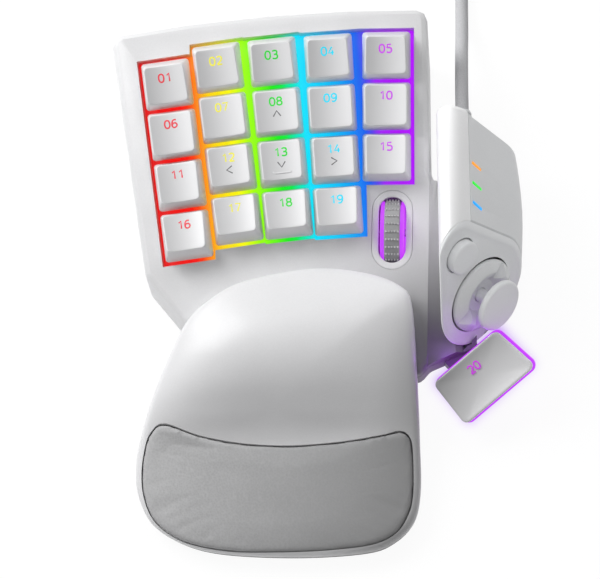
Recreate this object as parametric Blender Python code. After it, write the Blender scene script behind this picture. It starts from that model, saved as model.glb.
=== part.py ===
"""Left-hand gaming keypad: twenty keys, a click wheel, a thumb module, a palm rest and its cable.

Metres, +Z up. X runs to the right of the user, -Y points at the user.
The origin is at the middle of the footprint, on the desk.
"""
import math

import bmesh
import bpy
from mathutils import Matrix, Vector

# General clearances and walls
GAP = 0.0003
OVERRUN = 0.010
CASE_WALL = 0.0018
FLOOR_BOTTOM = 0.0020
FLOOR_THICKNESS = 0.0020
SEAM_HEIGHT = 0.0080
FOOT_RADIUS = 0.0050
FOOT_CHAMFER = 0.0006

# Sloping deck: the plane that the keys stand in
DECK_SLOPE = math.radians(14.0)
DECK_HEIGHT = 0.0210
DECK_SKIN = 0.0020
DECK_EDGE_RADIUS = 0.0022
DECK_CORNER_RADIUS = 0.0040

# Keys
KEY_PITCH = 0.0193
KEY_BASE = 0.0180
KEY_CORNER = 0.0012
KEY_HEIGHT = 0.0088
KEY_TOP_CORNER = 0.0013
KEY_TOP_EDGE = 0.0005
KEY_DISH = 0.0008
key_top_shares = (0.40, 0.95)
KEY_WALL = 0.0013
KEY_ROOF = 0.0030
KEY_SINK = 0.0005
KEY_TRAVEL = 0.0035
STEM_WIDTH = 0.0056
STEM_CORNER = 0.0010
WELL_MARGIN = 0.0014
ROW_COUNT = 4
COLUMN_COUNT = 5
CORNER_STEPS = 2
SMOOTH_ANGLE = math.radians(35.0)

# Front key of each column: place across and along the deck, in key pitches
column_place_shares = ((-2.596, 1.006), (-1.620, 1.305), (-0.650, 1.380), (0.322, 1.413), (1.279, 2.427))
COLUMN_LEAN = tuple(math.radians(angle) for angle in (6.6, 6.3, 4.4, 2.3, -1.0))
COLUMN_FRONT_ROW = (3, 3, 3, 3, 2)

# Each row has its own profile: the width of the top, how far it is drawn in at the rear and the front, and its tilt
ROW_TOP_WIDTH = (0.0148, 0.0154, 0.0145, 0.0146)
ROW_REAR_DRAW = (0.0037, 0.0024, 0.0021, 0.0016)
ROW_FRONT_DRAW = (0.0006, 0.0003, 0.0013, 0.0023)
ROW_TILT = tuple(math.radians(angle) for angle in (8.0, -3.0, -5.5, -12.0))

# Stack of moulding, diffuser, rubber domes and board below the keys
PRESS_ROOM = 0.0005
DIFFUSER_THICKNESS = 0.0008
FRAME_PLATE = 0.0016
FRAME_RIM = 0.0005
FRAME_SKIRT_WALL = 0.0012
GUIDE_WALL = 0.0012
GUIDE_HEIGHT = 0.0030
STEM_ROOM = 0.0004
DOME_HEIGHT = 0.0040
DOME_BASE_RADIUS = 0.0046
DOME_TOP_RADIUS = 0.0030
DOME_WALL = 0.0008
DOME_SHEET_THICKNESS = 0.0008
DOME_SIDES = 6
BOARD_THICKNESS = 0.0016

# Deck outline: how far it stands outside the key well and where it ends
DECK_LEFT_MARGIN = 0.0098
DECK_LEFT_REAR_MARGIN = 0.0100
DECK_REAR_BOW = 0.0028
DECK_REAR_MARGIN = 0.0072
DECK_RIGHT_MARGIN = 0.0050
DECK_SHELF_MARGIN = 0.0057
DECK_SHELF_STEP = 0.0013
DECK_FRONT_LEFT_MARGIN = 0.0066
DECK_FRONT_LEFT_DROP = 0.0028
DECK_FRONT = -0.0330
rear_bow_shares = (0.25, 0.5, 0.75)

# Front of the case: steps from the front left corner of the deck, and the bridge to the thumb module
CASE_FRONT_STEPS = ((0.0135, -0.0173), (0.0225, -0.0275))
CASE_FRONT_START = 0.0260
BRIDGE_STEP = 0.0006
BRIDGE_LEFT = 0.0034
BRIDGE_WALL_START = (0.0042, 0.0043)
BRIDGE_WALL_END = (-0.0020, -0.0150)
BRIDGE_TOP_DROP = 0.0026
BRIDGE_FRONT_HEIGHT = 0.0085
BRIDGE_MIDDLE_DROP = 0.0012

# Click wheel
WHEEL_PLACE = (0.02615, 0.0196)
WHEEL_LEAN = math.radians(-2.3)
WHEEL_RADIUS = 0.0126
WHEEL_STAND = 0.0048
TYRE_WIDTH = 0.0058
TYRE_THICKNESS = 0.0020
RIM_WIDTH = 0.0088
RIM_RADIUS = 0.0117
AXLE_RADIUS = 0.0015
AXLE_LENGTH = 0.0140
AXLE_ROOM = 0.0001
SLOT_WIDTH = 0.0100
SLOT_LENGTH = 0.0246
BEZEL_BORDER = 0.0023
BEZEL_FLANGE = 0.0012
BEZEL_FLANGE_THICKNESS = 0.0010
CRADLE_EAR = 0.0016
CRADLE_EAR_LENGTH = 0.0090
CRADLE_BAR = 0.0022
CRADLE_CLICK = 0.0006
ROUND_STEPS = 24
SLOT_STEPS = 16

# Thumb module: its face looks outwards and at the user
FACE_AZIMUTH = math.radians(-40.5)
FACE_ELEVATION = math.radians(18.9)
PAD_CENTRE = (0.0583, -0.0062, 0.0216)
LOBE_RADIUS = 0.0213
SPINE_RADIUS = 0.0097
SPINE_PLACE = (-0.0005, 0.0308)
FACE_DEPTH = 0.0012
FACE_EDGE = 0.0011
FACE_DISH = 0.0004
face_edge_shares = ((0.1, 0.55), (0.4, 0.2))
face_dish_share = 2.5
FACE_PLATE = 0.0028
POD_WALL = 0.0028
POD_FLOOR = 0.0016
POD_REAR = 0.0538
POD_REAR_EDGE = 0.0022
POD_CHAMFER_HEIGHT = 0.0190
POD_CHAMFER_RUN = 0.0100
WING_STEP = 0.0040
PANEL_THICKNESS = 0.0024
PANEL_BOTTOM_ANGLE = math.radians(-52.0)
SPINE_STEPS = 8
LOBE_STEPS = 9
PANEL_STEPS = 4
# Bulge of the side panel: pairs of place along the module and bulge, from rear to front
PANEL_BULGE = ((0.0516, -0.0008), (0.0430, 0.0008), (0.0300, 0.0020))
PANEL_FRONT_BULGE = 0.0008

BUTTON_RADIUS = 0.0064
BUTTON_ROOM = 0.0007
BUTTON_STAND = 0.0027
BUTTON_EDGE = 0.0006
BUTTON_SINK = 0.0007
BUTTON_STEM_RADIUS = 0.0020
BUTTON_STEM_END = 0.0039
BUTTON_TRAVEL = 0.0010
BUTTON_RISE = 0.0266

PAD_RADIUS = 0.0145
PAD_ROOM = 0.0007
PAD_CREST_RADIUS = 0.0108
PAD_CREST = 0.0034
PAD_SHOULDER = 0.0012
PAD_CRATER_RADIUS = 0.0072
PAD_CRATER = 0.0010
PAD_UNDERSIDE = 0.0020
PAD_NOTCH = 0.0020
PAD_NOTCHES = 4
PAD_SECTORS = 32
pad_notch_share = 0.8
PIVOT_RADIUS = 0.0020
PIVOT_LENGTH = 0.0030
POST_RADIUS = 0.0030
MODULE_FRAME_DEPTH = 0.0082
MODULE_FRAME_THICKNESS = 0.0018

STICK_RADIUS = 0.0099
STICK_THICKNESS = 0.0026
STICK_EDGE = 0.0005
STICK_STAND = 0.0100
STICK_STEM_RADIUS = 0.0026
STICK_SOCKET_DEPTH = 0.0016

LED_FIRST = 0.0334
LED_PITCH = 0.0078
LED_LENGTH = 0.0060
LED_WIDTH = 0.0009
LED_THICKNESS = 0.0012
LED_INSET = 0.0021
LED_COUNT = 3
LED_SLANT = math.radians(8.0)

# Thumb key: a thin slanted plate low down beside the palm rest
THUMB_KEY_CENTRE = (0.0582, -0.0368, 0.0190)
THUMB_KEY_TILT = math.radians(25.8)
THUMB_KEY_AZIMUTH = math.radians(-108.5)
THUMB_KEY_TURN = math.radians(56.0)
THUMB_KEY_LENGTH = 0.0336
THUMB_KEY_INNER_LENGTH = 0.0302
THUMB_KEY_WIDTH = 0.0193
THUMB_KEY_SKEW = 0.0010
THUMB_KEY_CORNER = 0.0024
THUMB_KEY_THICKNESS = 0.0030
THUMB_KEY_EDGE = 0.0007
THUMB_KEY_DISH = 0.0009
THUMB_KEY_TRAVEL = 0.0030
THUMB_STEM_RADIUS = 0.0030
THUMB_PLATE_THICKNESS = 0.0016
THUMB_PLATE_BORDER = 0.0006
THUMB_PLINTH_INSET = 0.0066
THUMB_ARM_STEP = 0.0010

# Palm rest
PALM_RIGHT = 0.0346
PALM_WIDTH = 0.1038
PALM_CENTRE = (PALM_RIGHT - PALM_WIDTH / 2, -0.0482)
PALM_LENGTH = 0.1033
PALM_WALL = 0.0020
PALM_TRAVEL = 0.0120
PALM_CROWN = 0.0375
PALM_RIM = 0.0088
PALM_ROOM = 0.0006
PALM_STEPS = 40
PALM_TONGUE_WIDTH = 0.0140
PALM_TONGUE_LENGTH = 0.0300
PALM_TONGUE_THICKNESS = 0.0024
PALM_TONGUE_STEPS = (-0.05555, -0.01655)
CUSHION_DEPTH = 0.0030
CUSHION_CROWN = 0.0012

# Outline of the palm rest, from its centre, in shares of its width and length
palm_outline_shares = (
    (0.130, 0.500), (0.325, 0.478), (0.449, 0.424), (0.486, 0.350), (0.497, 0.080), (0.500, -0.090),
    (0.500, -0.265), (0.476, -0.380), (0.408, -0.452), (0.310, -0.488), (0.080, -0.500), (-0.180, -0.484),
    (-0.330, -0.445), (-0.440, -0.372), (-0.492, -0.270), (-0.500, -0.165), (-0.485, -0.075),
    (-0.444, 0.052), (-0.380, 0.195), (-0.313, 0.318), (-0.236, 0.390), (-0.110, 0.458),
)
# Outline of the cushion, from the centre of the palm rest, in the same shares
cushion_outline_shares = (
    (0.047, -0.119), (0.221, -0.110), (0.369, -0.089), (0.434, -0.075), (0.467, -0.098), (0.4745, -0.165),
    (0.4725, -0.290), (0.456, -0.362), (0.412, -0.428), (0.330, -0.467), (0.176, -0.484), (0.007, -0.487),
    (-0.177, -0.478), (-0.326, -0.442), (-0.425, -0.375), (-0.468, -0.285), (-0.476, -0.190),
    (-0.462, -0.100), (-0.440, -0.057), (-0.395, -0.036), (-0.276, -0.078), (-0.122, -0.108),
)
# Profile of the palm rest from rear to front: place along it, then height between rim and crown
palm_profile_shares = (
    (0.500, 0.760), (0.455, 0.880), (0.385, 0.975), (0.290, 1.000), (0.180, 0.935), (0.080, 0.770),
    (-0.010, 0.500), (-0.080, 0.270), (-0.150, 0.160), (-0.300, 0.080), (-0.430, 0.020), (-0.500, 0.000),
)
# Rings of its surface from the centre to the edge
palm_ring_shares = (0.10, 0.28, 0.46, 0.62, 0.76, 0.88, 0.96)
SHARE_ROOM = 0.001
palm_hollow_share = -0.07
palm_foot_shares = (0.30, -0.33)
# Height of its rim on the same scale
palm_rim_shares = (
    (0.500, 0.740), (0.380, 0.700), (0.200, 0.520), (0.050, 0.330), (-0.080, 0.170), (-0.200, 0.090),
    (-0.350, 0.030), (-0.500, 0.000),
)

# Rings of the cushion from its centre to its edge
cushion_ring_shares = (0.14, 0.34, 0.55, 0.74, 0.88, 0.955, 0.99)
cushion_bottom_shares = (0.50, 0.985)

# Cable, coil and plug
CABLE_RADIUS = 0.0025
CABLE_EXIT = (0.0530, 0.0240)
RELIEF_LENGTH = 0.0130
RELIEF_BASE_RADIUS = 0.0042
RELIEF_END_RADIUS = 0.0033
CABLE_STEP = 0.0060
CABLE_SIDES_RESOLUTION = 2
COIL_CENTRE_Y = 0.1860
COIL_RADIUS = 0.0430
COIL_PITCH = 0.0056
COIL_TURNS = 5
COIL_POINTS_PER_TURN = 24
COIL_HEIGHT = 0.0036
COIL_LEAVE_SHARE = 0.75
COIL_TAIL_SHARE = 0.25
COIL_TAIL_CLEAR = 0.0065
coil_tail_spread_share = 0.65
coil_tail_fall_share = 0.4
TIE_THICKNESS = 0.0007
TIE_INNER_TURN = 5.25
TIE_OUTER_TURN = 0.5
TIE_WIDTH = 0.0080
PLUG_WIDTH = 0.0158
PLUG_HEIGHT = 0.0082
PLUG_LENGTH = 0.0300
PLUG_EDGE = 0.0016
PLUG_SHELL_WIDTH = 0.0120
PLUG_SHELL_HEIGHT = 0.0045
PLUG_SHELL_LENGTH = 0.0187
PLUG_SHELL_WALL = 0.0004
PLUG_SHELL_SINK = 0.0040

# Route of the free cable from the strain relief back to the coil, chosen by hand
cable_route = (
    (0.0530, 0.0674, 0.0240), (0.0530, 0.0748, 0.0237), (0.0531, 0.0826, 0.0218), (0.0532, 0.0904, 0.0180),
    (0.0533, 0.0982, 0.0130), (0.0535, 0.1060, 0.0082), (0.0536, 0.1138, 0.0048), (0.0537, 0.1216, 0.0032),
    (0.0538, 0.1334, 0.0027), (0.0538, 0.1480, 0.0029), (0.0538, 0.1640, 0.0034), (0.0538, 0.1807, 0.0036),
)

# Fasteners
SCREW_RADIUS = 0.0015
SCREW_HEAD_RADIUS = 0.0028
SCREW_HEAD_HEIGHT = 0.0016
SCREW_LENGTH = 0.0110
SCREW_LEFT_STEP = (0.0260, -0.0150)
SCREW_RIGHT_STEP = 0.0030
BOSS_RADIUS = 0.0044

# Plain number colours of the materials
WHITE = (0.86, 0.86, 0.87)
GLOSS_WHITE = (0.90, 0.90, 0.91)
LIGHT_GREY = (0.72, 0.73, 0.74)
CUSHION_GREY = (0.52, 0.52, 0.53)
DARK_GREY = (0.10, 0.10, 0.11)
RUBBER_GREY = (0.30, 0.30, 0.32)
STEEL = (0.62, 0.62, 0.64)


def clear_scene():
    for thing in list(bpy.data.objects):
        bpy.data.objects.remove(thing, do_unlink=True)


def material(name, colour, roughness=0.5, metallic=0.0):
    """One Principled material."""
    made = bpy.data.materials.new(name)
    made.use_nodes = True
    shader = made.node_tree.nodes["Principled BSDF"]
    shader.inputs["Base Color"].default_value = (*colour, 1.0)
    shader.inputs["Roughness"].default_value = roughness
    shader.inputs["Metallic"].default_value = metallic
    return made


def new_mesh(name, bm, smooth=False):
    bmesh.ops.recalc_face_normals(bm, faces=bm.faces)
    mesh = bpy.data.meshes.new(name)
    bm.to_mesh(mesh)
    bm.free()
    if smooth:
        mesh.shade_smooth()
        mesh.set_sharp_from_angle(angle=SMOOTH_ANGLE)
    return mesh


def place(name, mesh, look=None, matrix=None, parent=None):
    """Add one named object, at a place given as a world matrix."""
    thing = bpy.data.objects.new(name, mesh)
    bpy.context.collection.objects.link(thing)
    if look is not None and not mesh.materials:
        mesh.materials.append(look)
    if parent is not None:
        thing.parent = parent
        thing.matrix_parent_inverse = parent.matrix_world.inverted()
    if matrix is not None:
        thing.matrix_world = matrix
    return thing


def make(name, bm, look=None, matrix=None, parent=None, smooth=False):
    return place(name, new_mesh(name, bm, smooth), look, matrix, parent)


def empty(name, matrix):
    marker = bpy.data.objects.new(name, None)
    bpy.context.collection.objects.link(marker)
    marker.matrix_world = matrix
    bpy.context.view_layer.update()
    return marker


def loft(rings):
    """A closed body through rings of equal length, capped at both ends."""
    bm = bmesh.new()
    rows = [[bm.verts.new(point) for point in ring] for ring in rings]
    count = len(rows[0])
    for lower, upper in zip(rows, rows[1:]):
        for index in range(count):
            after = (index + 1) % count
            bm.faces.new((lower[index], lower[after], upper[after], upper[index]))
    bm.faces.new(reversed(rows[0]))
    bm.faces.new(rows[-1])
    return bm


def prism(outline, bottom, top):
    """A flat outline raised between two heights."""
    return loft([[(x, y, z) for x, y in outline] for z in (bottom, top)])


def block(low, high):
    outline = ((low[0], low[1]), (high[0], low[1]), (high[0], high[1]), (low[0], high[1]))
    return prism(outline, low[2], high[2])


def round_ring(radius, height, steps=ROUND_STEPS, centre=(0.0, 0.0)):
    step = math.tau / steps
    return [(centre[0] + radius * math.cos(step * index), centre[1] + radius * math.sin(step * index), height)
            for index in range(steps)]


def turned(profile, steps=ROUND_STEPS, centre=(0.0, 0.0)):
    """A round body: pairs of radius and height, from one end to the other."""
    return loft([round_ring(radius, height, steps, centre) for radius, height in profile])


def rounded(corners, radius, steps):
    """Round the corners of an outline with arcs of one radius."""
    points = []
    count = len(corners)
    for index in range(count):
        here = Vector(corners[index])
        before = (Vector(corners[index - 1]) - here).normalized()
        after = (Vector(corners[(index + 1) % count]) - here).normalized()
        half_angle = before.angle(after) / 2
        reach = radius / math.tan(half_angle)
        start = here + before * reach
        end = here + after * reach
        middle = here + (before + after).normalized() * (radius / math.sin(half_angle))
        for step in range(steps + 1):
            along = step / steps
            direction = (start - middle).lerp(end - middle, along).normalized()
            points.append(tuple(middle + direction * radius))
    return points


def rounded_rectangle(width, length, radius, steps, centre=(0.0, 0.0)):
    half_width = width / 2
    half_length = length / 2
    corners = [(centre[0] + half_width, centre[1] + half_length), (centre[0] - half_width, centre[1] + half_length),
               (centre[0] - half_width, centre[1] - half_length), (centre[0] + half_width, centre[1] - half_length)]
    return rounded(corners, radius, steps)


def stadium(width, length, steps=ROUND_STEPS):
    """A slot outline with round ends, longer along Y."""
    radius = width / 2
    straight = length / 2 - radius
    half = steps // 2
    points = []
    for end in (1, -1):
        for index in range(half + 1):
            angle = math.pi * index / half + (0.0 if end > 0 else math.pi)
            points.append((radius * math.cos(angle), end * straight + radius * math.sin(angle)))
    return points


def offset_outline(outline, distance):
    """Move every edge of a counter-clockwise outline outwards by one distance."""
    moved = []
    count = len(outline)
    for index in range(count):
        here = Vector(outline[index])
        arriving = (here - Vector(outline[index - 1])).normalized()
        leaving = (Vector(outline[(index + 1) % count]) - here).normalized()
        normal_in = Vector((arriving.y, -arriving.x))
        normal_out = Vector((leaving.y, -leaving.x))
        mean = (normal_in + normal_out).normalized()
        moved.append(tuple(here + mean * (distance / mean.dot(normal_in))))
    return moved


def smooth_outline(points, steps):
    """A closed smooth curve through a few points, read at an even spacing."""
    dense_steps = 16
    dense = []
    count = len(points)
    for index in range(count):
        p0 = Vector(points[index - 1])
        p1 = Vector(points[index])
        p2 = Vector(points[(index + 1) % count])
        p3 = Vector(points[(index + 2) % count])
        for step in range(dense_steps):
            dense.append(spline_point(p0, p1, p2, p3, step / dense_steps))
    dense.append(dense[0])
    return [tuple(point) for point in even_points(dense, steps)[:-1]]


def spline_point(p0, p1, p2, p3, t):
    """A point of the cubic that passes p1 and p2."""
    return 0.5 * (2 * p1 + (p2 - p0) * t + (2 * p0 - 5 * p1 + 4 * p2 - p3) * t ** 2
                  + (3 * p1 - p0 - 3 * p2 + p3) * t ** 3)


def even_points(points, steps):
    """Points at an even distance along a run of points."""
    lengths = [0.0]
    for before, after in zip(points, points[1:]):
        lengths.append(lengths[-1] + (after - before).length)
    result = []
    index = 0
    for step in range(steps + 1):
        wanted = lengths[-1] * step / steps
        while index < len(points) - 2 and lengths[index + 1] < wanted:
            index += 1
        span = lengths[index + 1] - lengths[index]
        share = (wanted - lengths[index]) / span if span > 0 else 0.0
        result.append(points[index].lerp(points[index + 1], min(max(share, 0.0), 1.0)))
    return result


def boolean(target, tool, operation="DIFFERENCE"):
    """Cut or join two objects and keep the result as the target's own mesh."""
    modifier = target.modifiers.new("shape", "BOOLEAN")
    modifier.operation = operation
    modifier.solver = "EXACT"
    modifier.object = tool
    bpy.context.view_layer.update()
    evaluated = target.evaluated_get(bpy.context.evaluated_depsgraph_get())
    shaped = bpy.data.meshes.new_from_object(evaluated)
    target.modifiers.clear()
    looks = list(target.data.materials)
    target.data = shaped
    shaped.materials.clear()
    for look in looks:
        shaped.materials.append(look)
    bpy.data.objects.remove(tool, do_unlink=True)
    return target


def cut(target, *tools):
    for tool in tools:
        boolean(target, tool)


def join(target, *tools):
    for tool in tools:
        boolean(target, tool, "UNION")


def slice_away(bm, point, normal):
    """Remove what lies beyond a plane and close the section."""
    geometry = bm.verts[:] + bm.edges[:] + bm.faces[:]
    result = bmesh.ops.bisect_plane(bm, geom=geometry, dist=1e-7, plane_co=point, plane_no=normal, clear_outer=True)
    edges = [item for item in result["geom_cut"] if isinstance(item, bmesh.types.BMEdge)]
    bmesh.ops.edgenet_fill(bm, edges=edges)


def gather(bodies):
    """Join bodies that don't touch into one tool."""
    bm = bmesh.new()
    for body in bodies:
        mesh = bpy.data.meshes.new("part_of_tool")
        body.to_mesh(mesh)
        body.free()
        bm.from_mesh(mesh)
        bpy.data.meshes.remove(mesh)
    return bm


# Deck frame: x across, v along the slope, w out of the plane
deck = Matrix.Translation((0.0, 0.0, DECK_HEIGHT)) @ Matrix.Rotation(DECK_SLOPE, 4, "X")
deck_normal = Vector((0.0, -math.sin(DECK_SLOPE), math.cos(DECK_SLOPE)))


def deck_plane_height(y):
    return DECK_HEIGHT + y * math.tan(DECK_SLOPE)


def on_deck_plan(point):
    """World plan place of a point of the deck's surface."""
    return (point[0], point[1] * math.cos(DECK_SLOPE))


# Heights in the deck frame, from the deck's surface down
CAP_BASE = -KEY_SINK
DIFFUSER_TOP = CAP_BASE - KEY_TRAVEL - PRESS_ROOM
DIFFUSER_BOTTOM = DIFFUSER_TOP - DIFFUSER_THICKNESS
FRAME_TOP = DIFFUSER_BOTTOM - GAP
FRAME_BOTTOM = FRAME_TOP - FRAME_PLATE
GUIDE_TOP = FRAME_TOP + GUIDE_HEIGHT
DOME_TOP = FRAME_BOTTOM - GAP
DOME_SHEET_TOP = DOME_TOP - DOME_HEIGHT
DOME_SHEET_BOTTOM = DOME_SHEET_TOP - DOME_SHEET_THICKNESS
BOARD_TOP = DOME_SHEET_BOTTOM - GAP
BOARD_BOTTOM = BOARD_TOP - BOARD_THICKNESS
STEM_BOTTOM = DOME_TOP + GAP
FRAME_RIM_TOP = -DECK_SKIN - GAP
FRAME_SKIRT_BOTTOM = BOARD_BOTTOM


def key_place(column, steps_up):
    """Centre of a key in the deck frame, counted from the front key of its column."""
    across_share, along_share = column_place_shares[column]
    lean = COLUMN_LEAN[column]
    run = KEY_PITCH * steps_up
    return (KEY_PITCH * across_share - run * math.sin(lean), KEY_PITCH * along_share + run * math.cos(lean))


def all_keys():
    """Name, column, row from the rear and place of the nineteen finger keys."""
    for row in range(ROW_COUNT):
        for column in range(COLUMN_COUNT):
            steps_up = COLUMN_FRONT_ROW[column] - row
            if steps_up >= 0:
                number = row * COLUMN_COUNT + column + 1
                yield "key_%02d" % number, column, row, key_place(column, steps_up)


def column_corner(column, side, end):
    """Corner of a column's opening: side -1 left or 1 right, end -1 front or 1 rear."""
    steps_up = 0 if end < 0 else COLUMN_FRONT_ROW[column]
    centre = key_place(column, steps_up)
    reach = KEY_BASE / 2 + WELL_MARGIN
    lean = COLUMN_LEAN[column]
    x = centre[0] + reach * (side * math.cos(lean) - end * math.sin(lean))
    v = centre[1] + reach * (side * math.sin(lean) + end * math.cos(lean))
    return (x, v)


def well_outline():
    """Opening of the deck round all five columns, counter-clockwise, in the deck frame."""
    front = [column_corner(0, -1, -1)]
    rear = [column_corner(0, -1, 1)]
    for column in range(COLUMN_COUNT - 1):
        for end, points in ((-1, front), (1, rear)):
            right = column_corner(column, 1, end)
            left = column_corner(column + 1, -1, end)
            middle = (right[0] + left[0]) / 2
            points.append((middle, right[1]))
            points.append((middle, left[1]))
    last = COLUMN_COUNT - 1
    shelf = column_corner(last - 1, 1, -1)
    front[-2] = shelf
    front[-1] = (shelf[0], column_corner(last, -1, -1)[1])
    front.append(column_corner(last, 1, -1))
    rear.append(column_corner(last, 1, 1))
    return front + rear[::-1]


well = well_outline()
well_left_front = on_deck_plan(well[0])
well_left_rear = on_deck_plan(column_corner(0, -1, 1))
well_right_rear = on_deck_plan(column_corner(COLUMN_COUNT - 1, 1, 1))
well_right_front = on_deck_plan(column_corner(COLUMN_COUNT - 1, 1, -1))


# Thumb module frame: a across, b up the face, h out of the face
face = (Matrix.Translation(PAD_CENTRE) @ Matrix.Rotation(FACE_AZIMUTH, 4, "Z")
        @ Matrix.Rotation(-FACE_ELEVATION, 4, "Y") @ Matrix(((0, 0, 1, 0), (1, 0, 0, 0), (0, 1, 0, 0), (0, 0, 0, 1))))
face_normal = (face.to_3x3() @ Vector((0.0, 0.0, 1.0))).normalized()


def pod_outline(inset=0.0, panel_inset=0.0, bulge=0.0):
    """Outline of the thumb module on its face: a small circle above a large one, and the panel's side."""
    spine = Vector(SPINE_PLACE)
    lean = math.atan2(-spine.x, spine.y)
    tangent = math.asin((LOBE_RADIUS - SPINE_RADIUS) / spine.length)
    start = lean + tangent
    end = lean + math.pi - tangent
    points = []
    for index in range(SPINE_STEPS + 1):
        angle = start + (end - start) * index / SPINE_STEPS
        radius = SPINE_RADIUS - inset
        points.append((spine.x + radius * math.cos(angle), spine.y + radius * math.sin(angle)))
    for index in range(LOBE_STEPS + 1):
        angle = end + (math.tau + PANEL_BOTTOM_ANGLE - end) * index / LOBE_STEPS
        radius = LOBE_RADIUS - inset
        points.append((radius * math.cos(angle), radius * math.sin(angle)))
    for index in range(PANEL_STEPS + 1):
        angle = PANEL_BOTTOM_ANGLE + (start - PANEL_BOTTOM_ANGLE) * index / PANEL_STEPS
        radius = LOBE_RADIUS - inset - panel_inset + (bulge if index > 0 else 0.0)
        points.append((radius * math.cos(angle), radius * math.sin(angle)))
    radius = SPINE_RADIUS - inset - panel_inset
    points.append((spine.x + radius * math.cos(start), spine.y + radius * math.sin(start)))
    return drop_doubles(points)


def drop_doubles(points):
    """Leave out points that repeat the one before them."""
    return [point for index, point in enumerate(points) if (Vector(point) - Vector(points[index - 1])).length > GAP / 10]


def hollow_outline(inset):
    """The outline inside the module's walls, with the corners at the panel's two steps cut off."""
    points = pod_outline(inset, PANEL_THICKNESS + 2 * GAP)
    last_lobe = SPINE_STEPS + LOBE_STEPS + 1
    return points[1:last_lobe] + points[last_lobe + 1:]


def panel_outline(bulge):
    """Section of the side panel, in the same frame: its outer side and then its inner side."""
    sides = []
    for points in (pod_outline(0.0, 0.0, bulge), pod_outline(0.0, PANEL_THICKNESS)):
        side = [Vector(point) for point in points[-(PANEL_STEPS + 2):]]
        side[0] += (side[1] - side[0]).normalized() * GAP
        side[-1] += (side[-2] - side[-1]).normalized() * GAP
        sides.append([tuple(point) for point in side])
    return sides[0] + sides[1][::-1]


def ring_at_depth(outline, depth):
    """The outline pushed back along +Y until it lies that deep behind the face."""
    back = depth / -face_normal.y
    return [tuple(face @ Vector((a, b, 0.0)) + Vector((0.0, back, 0.0))) for a, b in outline]


def ring_at_rear(outline, y):
    """The outline pushed back along +Y to one plane across the module."""
    points = [face @ Vector((a, b, 0.0)) for a, b in outline]
    return [(point.x, y, point.z) for point in points]


# Thumb key frame: s along its long side, t across it, h out of its top
thumb_key = (Matrix.Translation(THUMB_KEY_CENTRE) @ Matrix.Rotation(THUMB_KEY_AZIMUTH, 4, "Z")
             @ Matrix.Rotation(THUMB_KEY_TILT, 4, "Y") @ Matrix.Rotation(math.radians(90.0) + THUMB_KEY_TURN, 4, "Z"))
thumb_key_normal = (thumb_key.to_3x3() @ Vector((0.0, 0.0, 1.0))).normalized()


def thumb_key_outline(border=0.0):
    """Outline of the thumb key, a little longer on its outer side."""
    outer = THUMB_KEY_LENGTH / 2 + border
    inner = THUMB_KEY_INNER_LENGTH / 2 + border
    half = THUMB_KEY_WIDTH / 2 + border
    corners = [(outer, -half), (inner - THUMB_KEY_SKEW, half), (-inner - THUMB_KEY_SKEW, half), (-outer, -half)]
    return rounded(corners, THUMB_KEY_CORNER + border, CORNER_STEPS + 1)


def deck_outline():
    """Plan of the deck, the bridge to the thumb module and the part under the palm rest, counter-clockwise."""
    rear_left = (well_left_rear[0] - DECK_LEFT_MARGIN, well_left_rear[1] + DECK_LEFT_REAR_MARGIN)
    rear_right = (well_right_rear[0] + DECK_RIGHT_MARGIN, well_right_rear[1] + DECK_REAR_MARGIN)
    shelf = (well_right_front[0] + DECK_SHELF_MARGIN, well_right_front[1] + DECK_SHELF_STEP)
    front_left = (well_left_front[0] - DECK_FRONT_LEFT_MARGIN, well_left_front[1] - DECK_FRONT_LEFT_DROP)
    return rear_left, rear_right, shelf, front_left


rear_left, rear_right, shelf, front_left = deck_outline()


def case_outline():
    """Plan of the case, counter-clockwise, with the bridge that reaches under the thumb module."""
    rear_run = Vector(rear_left) - Vector(rear_right)
    rear_side = Vector((rear_run.y, -rear_run.x)).normalized()
    rear_points = [tuple(Vector(rear_right) + rear_run * share + rear_side * (DECK_REAR_BOW * 4 * share * (1 - share)))
                   for share in rear_bow_shares]
    front_points = [(front_left[0] + across, front_left[1] + along) for across, along in CASE_FRONT_STEPS]
    wall_start = (PALM_RIGHT + BRIDGE_WALL_START[0], DECK_FRONT + BRIDGE_WALL_START[1])
    wall_end = (PAD_CENTRE[0] + BRIDGE_WALL_END[0], PAD_CENTRE[1] + BRIDGE_WALL_END[1])
    return [rear_right, *rear_points, rear_left, front_left, *front_points,
            (front_left[0] + CASE_FRONT_START, DECK_FRONT), (PALM_RIGHT + BRIDGE_STEP, DECK_FRONT),
            wall_start, wall_end, (wall_end[0], shelf[1]), shelf]


FLOOR_TOP = FLOOR_BOTTOM + FLOOR_THICKNESS
POD_BOTTOM = FLOOR_TOP + GAP
TALL = 0.0900
bridge_left = PALM_RIGHT + BRIDGE_LEFT


def lifted(outline, heights):
    return [(x, y, height) for (x, y), height in zip(outline, heights)]


def shrunk(outline, factor, centre):
    return [(centre[0] + (x - centre[0]) * factor, centre[1] + (y - centre[1]) * factor) for x, y in outline]


def turned_ring(profile, steps=ROUND_STEPS):
    """A round body with a bore: a closed section of pairs of radius and height."""
    return ring_loft([round_ring(radius, height, steps) for radius, height in profile])


def ring_loft(rings):
    """A body with a hole through it: rings that lead back to the first one."""
    bm = bmesh.new()
    rows = [[bm.verts.new(point) for point in ring] for ring in rings]
    count = len(rows[0])
    for lower, upper in zip(rows, rows[1:] + rows[:1]):
        for index in range(count):
            after = (index + 1) % count
            bm.faces.new((lower[index], lower[after], upper[after], upper[index]))
    return bm


def smooth_step(value):
    limited = min(max(value, 0.0), 1.0)
    return limited * limited * (3.0 - 2.0 * limited)


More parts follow.
